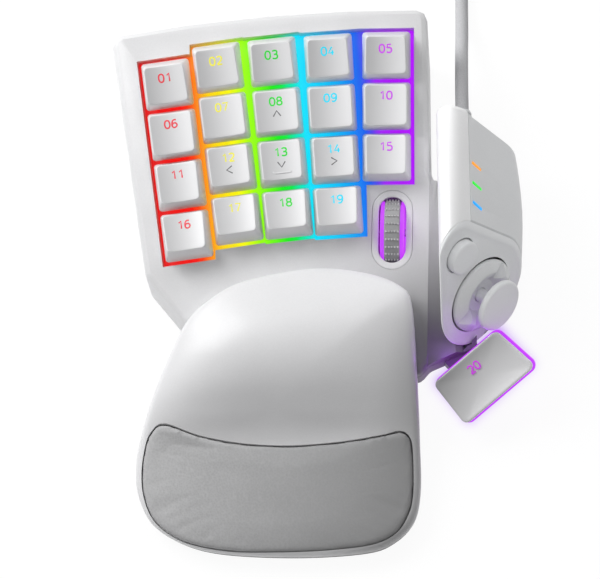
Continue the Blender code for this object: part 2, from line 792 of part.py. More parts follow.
def read_profile(table, place_share):
    """Read a table of pairs, sorted from high to low, as one smooth curve."""
    if place_share >= table[0][0]:
        return table[0][1]
    if place_share <= table[-1][0]:
        return table[-1][1]
    for index in range(len(table) - 1):
        high, high_value = table[index]
        low, low_value = table[index + 1]
        if place_share >= low:
            before = table[max(index - 1, 0)]
            after = table[min(index + 2, len(table) - 1)]
            slope_high = (low_value - before[1]) / (low - before[0])
            slope_low = (after[1] - high_value) / (after[0] - high)
            span = low - high
            t = (place_share - high) / span
            return (high_value * (2 * t ** 3 - 3 * t ** 2 + 1) + low_value * (3 * t ** 2 - 2 * t ** 3)
                    + span * (slope_high * (t ** 3 - 2 * t ** 2 + t) + slope_low * (t ** 3 - t ** 2)))
    return table[-1][1]


# Key caps

def key_mesh(row):
    """One cap of a row: tapered sides, a tilted top dished from side to side, hollow, with a square stem."""
    half = KEY_BASE / 2
    width = ROW_TOP_WIDTH[row]
    front = -half + ROW_FRONT_DRAW[row]
    rear = half - ROW_REAR_DRAW[row]
    middle = (0.0, (front + rear) / 2)
    slope = math.tan(ROW_TILT[row])

    def rim_height(y):
        return KEY_HEIGHT + slope * (y - middle[1])

    def on_sides(ring):
        """Move points in or out so that the rim follows the tapered sides."""
        return [(x * (KEY_BASE - (KEY_BASE - width) * rim_height(y) / KEY_HEIGHT) / width, y) for x, y in ring]

    def top_height(point):
        across = min(abs(point[0]) / (width / 2), 1.0)
        return rim_height(point[1]) - KEY_DISH * (1.0 - across * across)

    top = rounded_rectangle(width, rear - front, KEY_TOP_CORNER, CORNER_STEPS, middle)
    below = rounded_rectangle(width + KEY_TOP_EDGE, rear - front + KEY_TOP_EDGE, KEY_TOP_CORNER, CORNER_STEPS, middle)
    rings = []
    for share in key_top_shares:
        ring = shrunk(top, share, middle)
        rings.append(lifted(on_sides(ring), [top_height(point) for point in ring]))
    rings.append(lifted(on_sides(below), [top_height(point) - KEY_TOP_EDGE for point in below]))
    count = len(top)
    base = rounded_rectangle(KEY_BASE, KEY_BASE, KEY_CORNER, CORNER_STEPS)
    rings.append(lifted(base, [0.0] * count))
    hollow = KEY_BASE - 2 * KEY_WALL
    rings.append(lifted(rounded_rectangle(hollow, hollow, KEY_CORNER, CORNER_STEPS), [0.0] * count))
    roof = KEY_HEIGHT - KEY_ROOF - KEY_DISH
    ceiling = rounded_rectangle(width - 2 * KEY_WALL, rear - front - 2 * KEY_WALL, KEY_CORNER, CORNER_STEPS, middle)
    rings.append(lifted(ceiling, [roof] * count))
    stem = rounded_rectangle(STEM_WIDTH, STEM_WIDTH, STEM_CORNER, CORNER_STEPS)
    rings.append(lifted(stem, [roof] * count))
    rings.append(lifted(stem, [STEM_BOTTOM - CAP_BASE] * count))
    return loft(rings)


def build_keys(look):
    meshes = [new_mesh("key_row_%d" % (row + 1), key_mesh(row)) for row in range(ROW_COUNT)]
    for name, column, row, (x, v) in all_keys():
        matrix = deck @ Matrix.Translation((x, v, CAP_BASE)) @ Matrix.Rotation(COLUMN_LEAN[column], 4, "Z")
        place(name, meshes[row], look, matrix)


# Moulding, diffuser, rubber domes and board below the keys

def key_boxes(width, bottom, top):
    """One upright box at each key, as bodies that don't touch."""
    bodies = []
    half = width / 2
    for name, column, row, (x, v) in all_keys():
        body = block((-half, -half, bottom), (half, half, top))
        turn = Matrix.Translation((x, v, 0.0)) @ Matrix.Rotation(COLUMN_LEAN[column], 4, "Z")
        bmesh.ops.transform(body, matrix=turn, verts=body.verts)
        bodies.append(body)
    return gather(bodies)


def build_key_stack(white, clear_white, rubber, green):
    guide_inner = STEM_WIDTH + 2 * STEM_ROOM
    guide_outer = guide_inner + 2 * GUIDE_WALL
    frame = make("key_frame", prism(offset_outline(well, FRAME_RIM), FRAME_SKIRT_BOTTOM, FRAME_RIM_TOP), white, deck)
    below = offset_outline(well, FRAME_RIM - FRAME_SKIRT_WALL)
    cut(frame, make("pocket_below", prism(below, FRAME_SKIRT_BOTTOM - OVERRUN, FRAME_BOTTOM), None, deck),
        make("pocket_above", prism(well, FRAME_TOP, OVERRUN), None, deck))
    join(frame, make("guides", key_boxes(guide_outer, FRAME_BOTTOM, GUIDE_TOP), None, deck))
    cut(frame, make("bores", key_boxes(guide_inner, FRAME_BOTTOM - OVERRUN, OVERRUN), None, deck))

    diffuser = make("light_diffuser", prism(offset_outline(well, -GAP), DIFFUSER_BOTTOM, DIFFUSER_TOP),
                    clear_white, deck)
    openings = key_boxes(guide_outer + 2 * GAP, DIFFUSER_BOTTOM - OVERRUN, OVERRUN)
    cut(diffuser, make("guide_openings", openings, None, deck))

    inside = offset_outline(well, FRAME_RIM - FRAME_SKIRT_WALL - GAP)
    sheet = make("dome_sheet", prism(inside, DOME_SHEET_BOTTOM, DOME_SHEET_TOP), rubber, deck)
    join(sheet, make("domes", domes(0.0, DOME_SHEET_BOTTOM + DOME_WALL / 2, DOME_TOP), None, deck))
    cut(sheet, make("dome_hollows", domes(DOME_WALL, DOME_SHEET_BOTTOM - OVERRUN / 10, DOME_TOP - DOME_WALL), None, deck))

    make("circuit_board", prism(inside, BOARD_BOTTOM, BOARD_TOP), green, deck)


def domes(wall, bottom, top):
    """One cone-shaped dome at each key."""
    bodies = []
    for name, column, row, (x, v) in all_keys():
        profile = [(DOME_BASE_RADIUS - wall, bottom), (DOME_BASE_RADIUS - wall, DOME_SHEET_TOP),
                   (DOME_TOP_RADIUS - wall, top)]
        bodies.append(turned(profile, DOME_SIDES, (x, v)))
    return gather(bodies)


# Case: top cover with the deck, and bottom cover with the floor

def deck_block(outline, bottom, lift):
    """An upright block whose top is the deck's plane, moved along its normal."""
    bm = prism(outline, bottom, TALL)
    slice_away(bm, deck @ Vector((0.0, 0.0, lift)), deck_normal)
    return bm


def round_deck_edge(bm):
    """Round the edge all round the top face."""
    edges = [edge for edge in bm.edges
             if all(abs((vert.co - deck.translation).dot(deck_normal)) < GAP / 10 for vert in edge.verts)]
    bmesh.ops.bevel(bm, geom=edges, offset=DECK_EDGE_RADIUS, segments=2, profile=0.5, affect="EDGES",
                    clamp_overlap=True)


def valley_block():
    """Space above the bridge, beside the deck: lower than the deck and falling towards the user."""
    rear = shelf[1] + OVERRUN
    front = DECK_FRONT - OVERRUN
    shelf_height = deck_plane_height(shelf[1]) - BRIDGE_TOP_DROP
    middle_y = (shelf[1] + PAD_CENTRE[1]) / 2
    middle = deck_plane_height(middle_y) - BRIDGE_MIDDLE_DROP
    low = BRIDGE_FRONT_HEIGHT
    fall_y = PAD_CENTRE[1]
    profile = [(rear, shelf_height + OVERRUN * math.tan(DECK_SLOPE)), (middle_y, middle),
               (fall_y, (middle * 2 + low) / 3), ((fall_y + DECK_FRONT) / 2, (middle + low * 3) / 4), (front, low),
               (front, TALL), (rear, TALL)]
    lean = (shelf[0] - bridge_left) / (shelf[1] - DECK_FRONT)
    left = [(bridge_left + (y - DECK_FRONT) * lean - GAP, y, z) for y, z in profile]
    right = [(PAD_CENTRE[0] + OVERRUN, y, z) for y, z in profile]
    return loft([left, right])


def pod_keepout(bottom, front_room):
    """The thumb module's space with a clearance, reaching out behind it and in front of its face."""
    outline = pod_outline(-2 * GAP)
    bm = loft([ring_at_rear(outline, POD_REAR + OVERRUN), ring_at_depth(outline, -front_room)])
    slice_away(bm, Vector((0.0, 0.0, bottom)), Vector((0.0, 0.0, -1.0)))
    return bm


def cavity_outline(inset):
    """Inside of the case, left of the bridge."""
    corners = case_outline()
    bridge = (bridge_left - CASE_WALL, DECK_FRONT)
    return offset_outline(corners[:9] + [bridge, shelf], -inset)


SCREW_PLACES = ((front_left[0] + SCREW_LEFT_STEP[0], front_left[1] + SCREW_LEFT_STEP[1]),
                (bridge_left + SCREW_RIGHT_STEP, shelf[1] / 2))
SCREW_HEAD_BOTTOM = FLOOR_BOTTOM + GAP
SCREW_SEAT = SCREW_HEAD_BOTTOM + SCREW_HEAD_HEIGHT + GAP
SCREW_TOP = SCREW_HEAD_BOTTOM + SCREW_LENGTH


def build_top_cover(look):
    outline = rounded(case_outline(), DECK_CORNER_RADIUS, CORNER_STEPS)
    body = deck_block(outline, SEAM_HEIGHT + GAP, 0.0)
    round_deck_edge(body)
    cover = make("top_cover", body, look)
    cut(cover, make("valley", valley_block()),
        make("cavity", deck_block(cavity_outline(CASE_WALL), SEAM_HEIGHT - OVERRUN, -DECK_SKIN)),
        make("module_space", pod_keepout(POD_BOTTOM, OVERRUN)),
        make("well", prism(well, -OVERRUN, OVERRUN), None, deck))
    slot = stadium(SLOT_WIDTH + 2 * (BEZEL_BORDER + GAP), SLOT_LENGTH + 2 * (BEZEL_BORDER + GAP))
    cut(cover, make("bezel_hole", prism(slot, -OVERRUN / 2, OVERRUN), None, wheel_place))
    x, y = SCREW_PLACES[0]
    boss = turned([(BOSS_RADIUS, SEAM_HEIGHT + GAP), (BOSS_RADIUS, deck_plane_height(y) - DECK_SKIN)],
                  ROUND_STEPS // 2, (x, y))
    join(cover, make("boss", boss))
    for x, y in SCREW_PLACES:
        hole = turned([(SCREW_RADIUS + GAP, -OVERRUN), (SCREW_RADIUS + GAP, SCREW_TOP + GAP)],
                      ROUND_STEPS // 2, (x, y))
        cut(cover, make("screw_hole", hole))


def build_bottom_cover(look):
    outline = rounded(case_outline(), DECK_CORNER_RADIUS, CORNER_STEPS)
    cover = make("bottom_cover", prism(outline, FLOOR_BOTTOM, SEAM_HEIGHT), look)
    cut(cover, make("tray", prism(offset_outline(case_outline(), -CASE_WALL), FLOOR_TOP, TALL)))
    wing_low = (PAD_CENTRE[0] - LOBE_RADIUS / 2, PAD_CENTRE[1] + WING_STEP, FLOOR_BOTTOM)
    wing_high = (PAD_CENTRE[0] + LOBE_RADIUS / 3, POD_REAR - POD_CHAMFER_RUN - WING_STEP / 2, FLOOR_TOP)
    join(cover, make("wing", block(wing_low, wing_high)))
    for x, y in SCREW_PLACES:
        join(cover, make("boss", turned([(BOSS_RADIUS, FLOOR_BOTTOM), (BOSS_RADIUS, SEAM_HEIGHT)],
                                        ROUND_STEPS // 2, (x, y))))
    join(cover, make("plinth", plinth_body()), make("arm", arm_body()))
    cut(cover, make("module_space", pod_keepout(POD_BOTTOM - GAP, 2 * GAP)))
    cut(cover, make("stem_bore", thumb_stem_bore(), None, thumb_key))
    for step in PALM_TONGUE_STEPS:
        x = PALM_RIGHT + step
        reach = PALM_TONGUE_WIDTH / 2 + PALM_ROOM
        low = (x - reach, DECK_FRONT - OVERRUN, FLOOR_TOP)
        high = (x + reach, DECK_FRONT + OVERRUN, FLOOR_TOP + PALM_TONGUE_THICKNESS + 3 * GAP)
        cut(cover, make("tongue_slot", block(low, high)))
    for side in (-1, 1):
        join(cover, make("wheel_post", wheel_post(side)))
    for x, y in SCREW_PLACES:
        profile = [(SCREW_HEAD_RADIUS + GAP, -OVERRUN), (SCREW_HEAD_RADIUS + GAP, SCREW_SEAT)]
        cut(cover, make("head_recess", turned(profile, ROUND_STEPS // 2, (x, y))))
        profile = [(SCREW_RADIUS + GAP, -OVERRUN), (SCREW_RADIUS + GAP, TALL)]
        cut(cover, make("screw_hole", turned(profile, ROUND_STEPS // 2, (x, y))))


def build_fasteners(look):
    for index, (x, y) in enumerate(SCREW_PLACES):
        profile = [(SCREW_HEAD_RADIUS, SCREW_HEAD_BOTTOM), (SCREW_HEAD_RADIUS, SCREW_HEAD_BOTTOM + SCREW_HEAD_HEIGHT),
                   (SCREW_RADIUS, SCREW_HEAD_BOTTOM + SCREW_HEAD_HEIGHT), (SCREW_RADIUS, SCREW_TOP)]
        make("case_screw_%d" % (index + 1), turned(profile, ROUND_STEPS // 2, (x, y)), look, smooth=True)


def build_feet(look, palm):
    inset = FOOT_RADIUS * 2
    palm_foot_y = PALM_CENTRE[1] + PALM_LENGTH * palm_foot_shares[1]
    places = (
        ("foot_rear_left", rear_left[0] + inset, rear_left[1] - inset, None),
        ("foot_rear_right", rear_right[0] - inset, rear_right[1] - inset, None),
        ("foot_front_left", front_left[0] + inset, front_left[1], None),
        ("foot_module", PAD_CENTRE[0], shelf[1] / 2, None),
        ("foot_palm_left", PALM_CENTRE[0] - PALM_WIDTH * palm_foot_shares[0], palm_foot_y, palm),
        ("foot_palm_right", PALM_CENTRE[0] + PALM_WIDTH * palm_foot_shares[0], palm_foot_y, palm),
    )
    for name, x, y, parent in places:
        profile = [(FOOT_RADIUS - FOOT_CHAMFER, 0.0), (FOOT_RADIUS, FOOT_CHAMFER), (FOOT_RADIUS, FLOOR_BOTTOM - GAP)]
        make(name, turned(profile, ROUND_STEPS // 2, (x, y)), look, parent=parent, smooth=True)


# Click wheel

WHEEL_DROP = WHEEL_RADIUS - WHEEL_STAND
wheel_place = deck @ Matrix.Translation((*WHEEL_PLACE, 0.0)) @ Matrix.Rotation(WHEEL_LEAN, 4, "Z")
wheel_axis = wheel_place @ Matrix.Translation((0.0, 0.0, -WHEEL_DROP))
wheel_turn = wheel_axis @ Matrix.Rotation(math.radians(90.0), 4, "Y")
EAR_INSIDE = RIM_WIDTH / 2 + 2 * GAP
EAR_OUTSIDE = EAR_INSIDE + CRADLE_EAR
EAR_HALF_HEIGHT = AXLE_RADIUS * 2
BAR_INSIDE = WHEEL_RADIUS + 3 * GAP
HUB_RADIUS = WHEEL_RADIUS - TYRE_THICKNESS - GAP


def wheel_post(side):
    """Post of the floor that stands below one ear of the wheel's cradle."""
    centre_x = WHEEL_PLACE[0] + side * (EAR_INSIDE + EAR_OUTSIDE) / 2
    low = (centre_x - CRADLE_EAR / 2, wheel_axis.translation.y - EAR_HALF_HEIGHT, FLOOR_TOP - GAP)
    high = (centre_x + CRADLE_EAR / 2, wheel_axis.translation.y + EAR_HALF_HEIGHT, TALL)
    bm = block(low, high)
    top = -WHEEL_DROP - EAR_HALF_HEIGHT - CRADLE_CLICK - GAP
    slice_away(bm, deck @ Vector((0.0, 0.0, top)), deck_normal)
    return bm


def build_wheel(grey, glow, steel, dark, white):
    outer = (SLOT_WIDTH + 2 * BEZEL_BORDER, SLOT_LENGTH + 2 * BEZEL_BORDER)
    under = -DECK_SKIN - GAP
    bottom = under - BEZEL_FLANGE_THICKNESS
    slot_rings = []
    for (width, length), height in ((outer, 0.0), (outer, bottom), ((SLOT_WIDTH, SLOT_LENGTH), bottom),
                                    ((SLOT_WIDTH, SLOT_LENGTH), 0.0)):
        slot_rings.append([(x, y, height) for x, y in stadium(width, length, SLOT_STEPS)])
    bezel = make("wheel_bezel", ring_loft(slot_rings), white, wheel_place)
    half_tab = SLOT_WIDTH / 3
    for side in (-1, 1):
        near = side * (SLOT_LENGTH + BEZEL_BORDER) / 2
        far = side * (outer[1] / 2 + BEZEL_FLANGE)
        tab = block((-half_tab, min(near, far), bottom), (half_tab, max(near, far), under))
        join(bezel, make("snap_tab", tab, None, wheel_place))
    for radius, width in ((WHEEL_RADIUS, TYRE_WIDTH), (RIM_RADIUS, RIM_WIDTH)):
        room = turned([(radius + GAP, -width / 2 - GAP), (radius + GAP, width / 2 + GAP)], ROUND_STEPS)
        cut(bezel, make("wheel_room", room, None, wheel_turn))

    half_tyre = TYRE_WIDTH / 2
    inner = half_tyre + GAP
    half_rim = RIM_WIDTH / 2
    bore = AXLE_RADIUS + GAP / 2
    tyre = [(HUB_RADIUS + GAP, -half_tyre), (WHEEL_RADIUS - GAP, -half_tyre), (WHEEL_RADIUS, -half_tyre / 2),
            (WHEEL_RADIUS, half_tyre / 2), (WHEEL_RADIUS - GAP, half_tyre), (HUB_RADIUS + GAP, half_tyre)]
    make("wheel_tyre", turned_ring(tyre), grey, wheel_turn, smooth=True)
    rim = [(bore, -half_rim), (RIM_RADIUS, -half_rim), (RIM_RADIUS, -inner), (HUB_RADIUS, -inner),
           (HUB_RADIUS, inner), (RIM_RADIUS, inner), (RIM_RADIUS, half_rim), (bore, half_rim)]
    make("wheel_rim", turned_ring(rim), glow, wheel_turn, smooth=True)
    axle = turned([(AXLE_RADIUS, -AXLE_LENGTH / 2), (AXLE_RADIUS, AXLE_LENGTH / 2)], ROUND_STEPS // 2)
    make("wheel_axle", axle, steel, wheel_turn, smooth=True)

    cradle = make("wheel_cradle", block((-EAR_OUTSIDE, -BAR_INSIDE - CRADLE_BAR, -EAR_HALF_HEIGHT),
                                        (EAR_OUTSIDE, CRADLE_EAR_LENGTH / 2, EAR_HALF_HEIGHT)), dark, wheel_axis)
    cut(cradle, make("wheel_space", block((-EAR_INSIDE, -BAR_INSIDE, -OVERRUN), (EAR_INSIDE, OVERRUN, OVERRUN)),
                     None, wheel_axis))
    cut(cradle, make("axle_bore", turned([(AXLE_RADIUS + AXLE_ROOM, -AXLE_LENGTH), (AXLE_RADIUS + AXLE_ROOM, AXLE_LENGTH)],
                                         ROUND_STEPS // 2), None, wheel_turn))


# Thumb module

def module_body(rings, floor=POD_BOTTOM):
    """A body through rings along the module, cut flat below and slanted at its lower rear edge."""
    bm = loft(rings)
    slice_away(bm, Vector((0.0, 0.0, floor)), Vector((0.0, 0.0, -1.0)))
    slope = Vector((0.0, POD_CHAMFER_HEIGHT - POD_BOTTOM, -POD_CHAMFER_RUN)).normalized()
    lift = floor - POD_BOTTOM
    slice_away(bm, Vector((0.0, POD_REAR, POD_CHAMFER_HEIGHT)) - slope * lift, slope)
    return bm


def build_module_shell(white, grey, led_looks):
    panel_inset = PANEL_THICKNESS + 2 * GAP
    outline = pod_outline(0.0, panel_inset)
    outer = module_body([ring_at_rear(pod_outline(POD_REAR_EDGE, panel_inset), POD_REAR),
                         ring_at_rear(outline, POD_REAR - POD_REAR_EDGE), ring_at_depth(outline, FACE_DEPTH)])
    shell = make("pod_shell", outer, white)
    hollow = hollow_outline(POD_WALL)
    inner = module_body([ring_at_rear(hollow, POD_REAR - POD_WALL), ring_at_depth(hollow, FACE_DEPTH - OVERRUN)],
                        POD_BOTTOM + POD_FLOOR)
    cut(shell, make("pod_hollow", inner))

    sections = [ring_at_rear(panel_outline(bulge), y) for y, bulge in PANEL_BULGE]
    sections.append(ring_at_depth(panel_outline(PANEL_FRONT_BULGE), FACE_DEPTH + GAP))
    panel = make("pod_side_panel", module_body(sections), grey, smooth=True)
    crease = face @ Vector((*pod_outline()[-1], 0.0))
    turn_point = face @ Vector((*pod_outline()[-2], 0.0))
    down = Vector((turn_point.x - crease.x, 0.0, turn_point.z - crease.z)).normalized()
    outward = down.cross(Vector((0.0, 1.0, 0.0)))
    for index in range(LED_COUNT):
        y = LED_FIRST - LED_PITCH * index
        matrix = Matrix.Translation((crease.x, y, crease.z)) @ Matrix((
            (down.x, 0.0, outward.x, 0.0), (0.0, 1.0, 0.0, 0.0), (down.z, 0.0, outward.z, 0.0), (0.0, 0.0, 0.0, 1.0)))
        matrix = matrix @ Matrix.Rotation(-LED_SLANT, 4, "Z")
        half = LED_WIDTH / 2
        lens = block((LED_INSET, -half, -LED_THICKNESS), (LED_INSET + LED_LENGTH, half, 0.0))
        make("led_lens_%d" % (index + 1), lens, led_looks[index], matrix)
        room = GAP * 2 / 3
        slot = block((LED_INSET - room, -half - room, -OVERRUN / 4),
                     (LED_INSET + LED_LENGTH + room, half + room, OVERRUN))
        cut(panel, make("lens_slot", slot, None, matrix))


def build_module_face(white, grey, stick_look, dark):
    plate_under = FACE_DISH + FACE_PLATE
    edge = FACE_EDGE
    profile = ((0.0, FACE_DEPTH - GAP), *((edge * inward, edge * deep) for inward, deep in face_edge_shares),
               (edge, 0.0), (edge * face_dish_share, FACE_DISH))
    bm = loft([ring_at_depth(pod_outline(inset, 0.0, PANEL_FRONT_BULGE), depth) for inset, depth in profile])
    slice_away(bm, Vector((0.0, 0.0, POD_BOTTOM)), Vector((0.0, 0.0, -1.0)))
    front = make("pod_face", bm, white)
    plug_outline = hollow_outline(POD_WALL + 2 * GAP)
    plug = loft([ring_at_depth(plug_outline, plate_under), ring_at_depth(plug_outline, FACE_DISH + GAP)])
    slice_away(plug, Vector((0.0, 0.0, POD_BOTTOM + POD_FLOOR + GAP)), Vector((0.0, 0.0, -1.0)))
    join(front, make("plug", plug))
    pad_hole = PAD_RADIUS + PAD_ROOM
    cut(front, make("pad_hole", turned([(pad_hole, -plate_under - GAP), (pad_hole, OVERRUN)], PAD_SECTORS), None, face))
    button_hole = BUTTON_RADIUS + BUTTON_ROOM
    stem_hole = BUTTON_STEM_RADIUS + GAP
    button_place = face @ Matrix.Translation((SPINE_PLACE[0], BUTTON_RISE, 0.0))
    recess = -BUTTON_SINK - BUTTON_TRAVEL - GAP
    cut(front, make("button_recess", turned([(button_hole, recess), (button_hole, OVERRUN)]), None, button_place),
        make("stem_hole", turned([(stem_hole, -plate_under - GAP), (stem_hole, OVERRUN)], ROUND_STEPS // 2),
             None, button_place))

    button = [(BUTTON_STEM_RADIUS, -BUTTON_STEM_END), (BUTTON_STEM_RADIUS, -BUTTON_SINK),
              (BUTTON_RADIUS, -BUTTON_SINK), (BUTTON_RADIUS, BUTTON_STAND - BUTTON_EDGE),
              (BUTTON_RADIUS - BUTTON_EDGE, BUTTON_STAND)]
    make("thumb_button", turned(button), stick_look, button_place, smooth=True)

    depth = MODULE_FRAME_DEPTH
    frame_outline = hollow_outline(POD_WALL + 2 * GAP)
    bm = loft([ring_at_depth(frame_outline, depth + MODULE_FRAME_THICKNESS), ring_at_depth(frame_outline, depth)])
    slice_away(bm, Vector((0.0, 0.0, POD_BOTTOM + POD_FLOOR + GAP)), Vector((0.0, 0.0, -1.0)))
    frame = make("thumb_module_frame", bm, dark)
    post = turned([(POST_RADIUS, -depth - MODULE_FRAME_THICKNESS / 2), (POST_RADIUS, PIVOT_BOTTOM - GAP)],
                  ROUND_STEPS // 2)
    join(frame, make("post", post, None, face))

    pivot_frame = face @ Matrix.Translation((0.0, 0.0, PIVOT_CENTRE))
    half = PIVOT_LENGTH / 2
    make("pad_pivot", turned([(PIVOT_RADIUS, -half), (PIVOT_RADIUS, half)], ROUND_STEPS // 2), dark, pivot_frame)
    lower = Matrix.Translation((0.0, 0.0, -PIVOT_CENTRE))
    pad = pad_body()
    bmesh.ops.transform(pad, matrix=lower, verts=pad.verts)
    make("thumb_pad", pad, grey, pivot_frame)
    stem_bottom = PAD_CRATER - STICK_SOCKET_DEPTH + GAP
    disc = STICK_STAND - STICK_THICKNESS
    stick = turned([(STICK_STEM_RADIUS, stem_bottom), (STICK_STEM_RADIUS, disc), (STICK_RADIUS - STICK_EDGE, disc),
                    (STICK_RADIUS, disc + STICK_EDGE), (STICK_RADIUS, STICK_STAND - STICK_EDGE),
                    (STICK_RADIUS - STICK_EDGE, STICK_STAND)])
    bmesh.ops.transform(stick, matrix=lower, verts=stick.verts)
    make("thumb_stick", stick, stick_look, pivot_frame, smooth=True)


PIVOT_BOTTOM = -PAD_UNDERSIDE - GAP - PIVOT_LENGTH
PIVOT_CENTRE = PIVOT_BOTTOM + PIVOT_LENGTH / 2


def pad_body():
    """Direction pad: a raised ring with notches round a crater that holds the stick's stem."""
    shoulder_radius = (PAD_RADIUS + PAD_CREST_RADIUS) / 2
    socket = STICK_STEM_RADIUS + GAP
    profile = (
        (PAD_RADIUS - PAD_UNDERSIDE, -PAD_UNDERSIDE, 0.0), (PAD_RADIUS, -PAD_UNDERSIDE / 4, 0.0),
        (PAD_RADIUS, PAD_SHOULDER / 3, 0.0),
        (shoulder_radius, PAD_CREST - PAD_SHOULDER, pad_notch_share), (PAD_CREST_RADIUS, PAD_CREST, 1.0),
        (PAD_CRATER_RADIUS, PAD_CRATER, 0.0), (socket, PAD_CRATER, 0.0),
        (socket, PAD_CRATER - STICK_SOCKET_DEPTH, 0.0),
    )
    sector = math.tau / PAD_NOTCHES
    rings = []
    for radius, height, notch_share in profile:
        ring = []
        for index in range(PAD_SECTORS):
            angle = math.tau * index / PAD_SECTORS
            off_notch = abs((angle + sector / 2) % sector - sector / 2)
            depth = PAD_NOTCH * notch_share * max(0.0, 1.0 - off_notch / (sector / 4))
            ring.append((radius * math.cos(angle), radius * math.sin(angle), height - depth))
        rings.append(ring)
    return loft(rings)


# Thumb key and the light plate below it

THUMB_UNDERSIDE = -THUMB_KEY_THICKNESS
THUMB_PLATE_TOP = THUMB_UNDERSIDE - THUMB_KEY_TRAVEL - GAP
THUMB_PLATE_BOTTOM = THUMB_PLATE_TOP - THUMB_PLATE_THICKNESS
THUMB_STEM_BOTTOM = THUMB_PLATE_BOTTOM - GAP
THUMB_BORE_BOTTOM = THUMB_STEM_BOTTOM - THUMB_KEY_TRAVEL - GAP


def build_thumb_key(look, glow):
    outline = thumb_key_outline()
    edge = thumb_key_outline(-THUMB_KEY_EDGE)
    count = len(outline)
    centre = (0.0, 0.0)
    rings = [lifted(shrunk(edge, 0.40, centre), [-THUMB_KEY_DISH] * count),
             lifted(shrunk(edge, 0.75, centre), [-THUMB_KEY_DISH / 2] * count),
             lifted(edge, [0.0] * count), lifted(outline, [-THUMB_KEY_EDGE] * count),
             lifted(outline, [THUMB_UNDERSIDE] * count)]
    cap = loft(rings)
    key = make("key_20", cap, look, thumb_key)
    stem = turned([(THUMB_STEM_RADIUS, THUMB_STEM_BOTTOM), (THUMB_STEM_RADIUS, THUMB_UNDERSIDE / 2)], ROUND_STEPS // 2)
    join(key, make("stem", stem, None, thumb_key))

    plate_outline = thumb_key_outline(THUMB_PLATE_BORDER)
    plate = make("thumb_key_light_plate", prism(plate_outline, THUMB_PLATE_BOTTOM, THUMB_PLATE_TOP), glow, thumb_key)
    hole = THUMB_STEM_RADIUS + 2 * GAP
    cut(plate, make("stem_hole", turned([(hole, -OVERRUN), (hole, OVERRUN)], ROUND_STEPS // 2), None, thumb_key))


def thumb_stem_bore():
    bore = THUMB_STEM_RADIUS + 2 * GAP
    return turned([(bore, THUMB_BORE_BOTTOM), (bore, OVERRUN)], ROUND_STEPS // 2)


def plinth_plan():
    """Plan of the plinth below the thumb key, drawn in from the key's outline."""
    half_length = THUMB_KEY_INNER_LENGTH / 2 - THUMB_PLINTH_INSET
    half_width = THUMB_KEY_WIDTH / 2 - THUMB_PLINTH_INSET / 2
    corners = [(half_length, -half_width), (half_length, half_width), (-half_length, half_width),
               (-half_length, -half_width)]
    points = [thumb_key @ Vector((s, t, THUMB_PLATE_BOTTOM)) for s, t in corners]
    return [(point.x, point.y) for point in points]


def plinth_body():
    bm = prism(plinth_plan(), FLOOR_BOTTOM, TALL)
    slice_away(bm, thumb_key @ Vector((0.0, 0.0, THUMB_PLATE_BOTTOM - GAP)), thumb_key_normal)
    return bm


def arm_body():
    """Low arm of the bottom cover that carries the plinth."""
    plan = plinth_plan()
    sideways = (Vector(plan[2]) - Vector(plan[1])).normalized() * THUMB_ARM_STEP
    inner_right = Vector(plan[1]) + sideways
    inner_left = Vector(plan[2]) - sideways
    outward = Vector((thumb_key.col[1].x, thumb_key.col[1].y)).normalized()
    reach = OVERRUN + THUMB_PLINTH_INSET
    back = outward * -(THUMB_PLINTH_INSET / 2)
    outline = [tuple(inner_right + back), tuple(inner_right + outward * reach), tuple(inner_left + outward * reach),
               tuple(inner_left + back)]
    return prism(outline, FLOOR_BOTTOM, FLOOR_TOP + FLOOR_THICKNESS)


# Palm rest

def palm_points(shares):
    return [(PALM_CENTRE[0] + PALM_WIDTH * across, PALM_CENTRE[1] + PALM_LENGTH * along) for across, along in shares]


palm_outline = smooth_outline(palm_points(palm_outline_shares), PALM_STEPS)[::-1]
cushion_outline = smooth_outline(palm_points(cushion_outline_shares), PALM_STEPS)[::-1]


def edge_share(x, y):
    """How far a point lies from the centre of the palm rest towards its outline, from 0 to 1."""
    centre = Vector(PALM_CENTRE)
    direction = Vector((x, y)) - centre
    distance = direction.length
    if distance < GAP:
        return 0.0
    direction /= distance
    count = len(palm_outline)
    for index in range(count):
        start = Vector(palm_outline[index]) - centre
        side = Vector(palm_outline[(index + 1) % count]) - Vector(palm_outline[index])
        cross = direction.x * side.y - direction.y * side.x
        if abs(cross) > 0.0:
            along = (start.x * side.y - start.y * side.x) / cross
            share = (start.x * direction.y - start.y * direction.x) / cross
            if along > 0.0 and -SHARE_ROOM <= share <= 1.0 + SHARE_ROOM:
                return distance / along
    return 1.0


def palm_height(x, y):
    """Height of the palm rest's top."""
    along = (y - PALM_CENTRE[1]) / PALM_LENGTH
    crown = read_profile(palm_profile_shares, along)
    rim = read_profile(palm_rim_shares, along)
    share = min(edge_share(x, y), 1.0)
    height_share = rim + (crown - rim) * (1.0 - share ** 3)
    return PALM_RIM + (PALM_CROWN - PALM_RIM) * height_share


PALM_BOTTOM = FLOOR_TOP + GAP


def palm_surface(outline, drop, centre):
    rings = []
    for share in palm_ring_shares:
        ring = shrunk(outline, share, centre)
        rings.append([(x, y, palm_height(x, y) - drop) for x, y in ring])
    return rings


def deck_keepout():
    outline = offset_outline(case_outline(), PALM_ROOM)
    return deck_block(outline, -OVERRUN, PALM_ROOM)


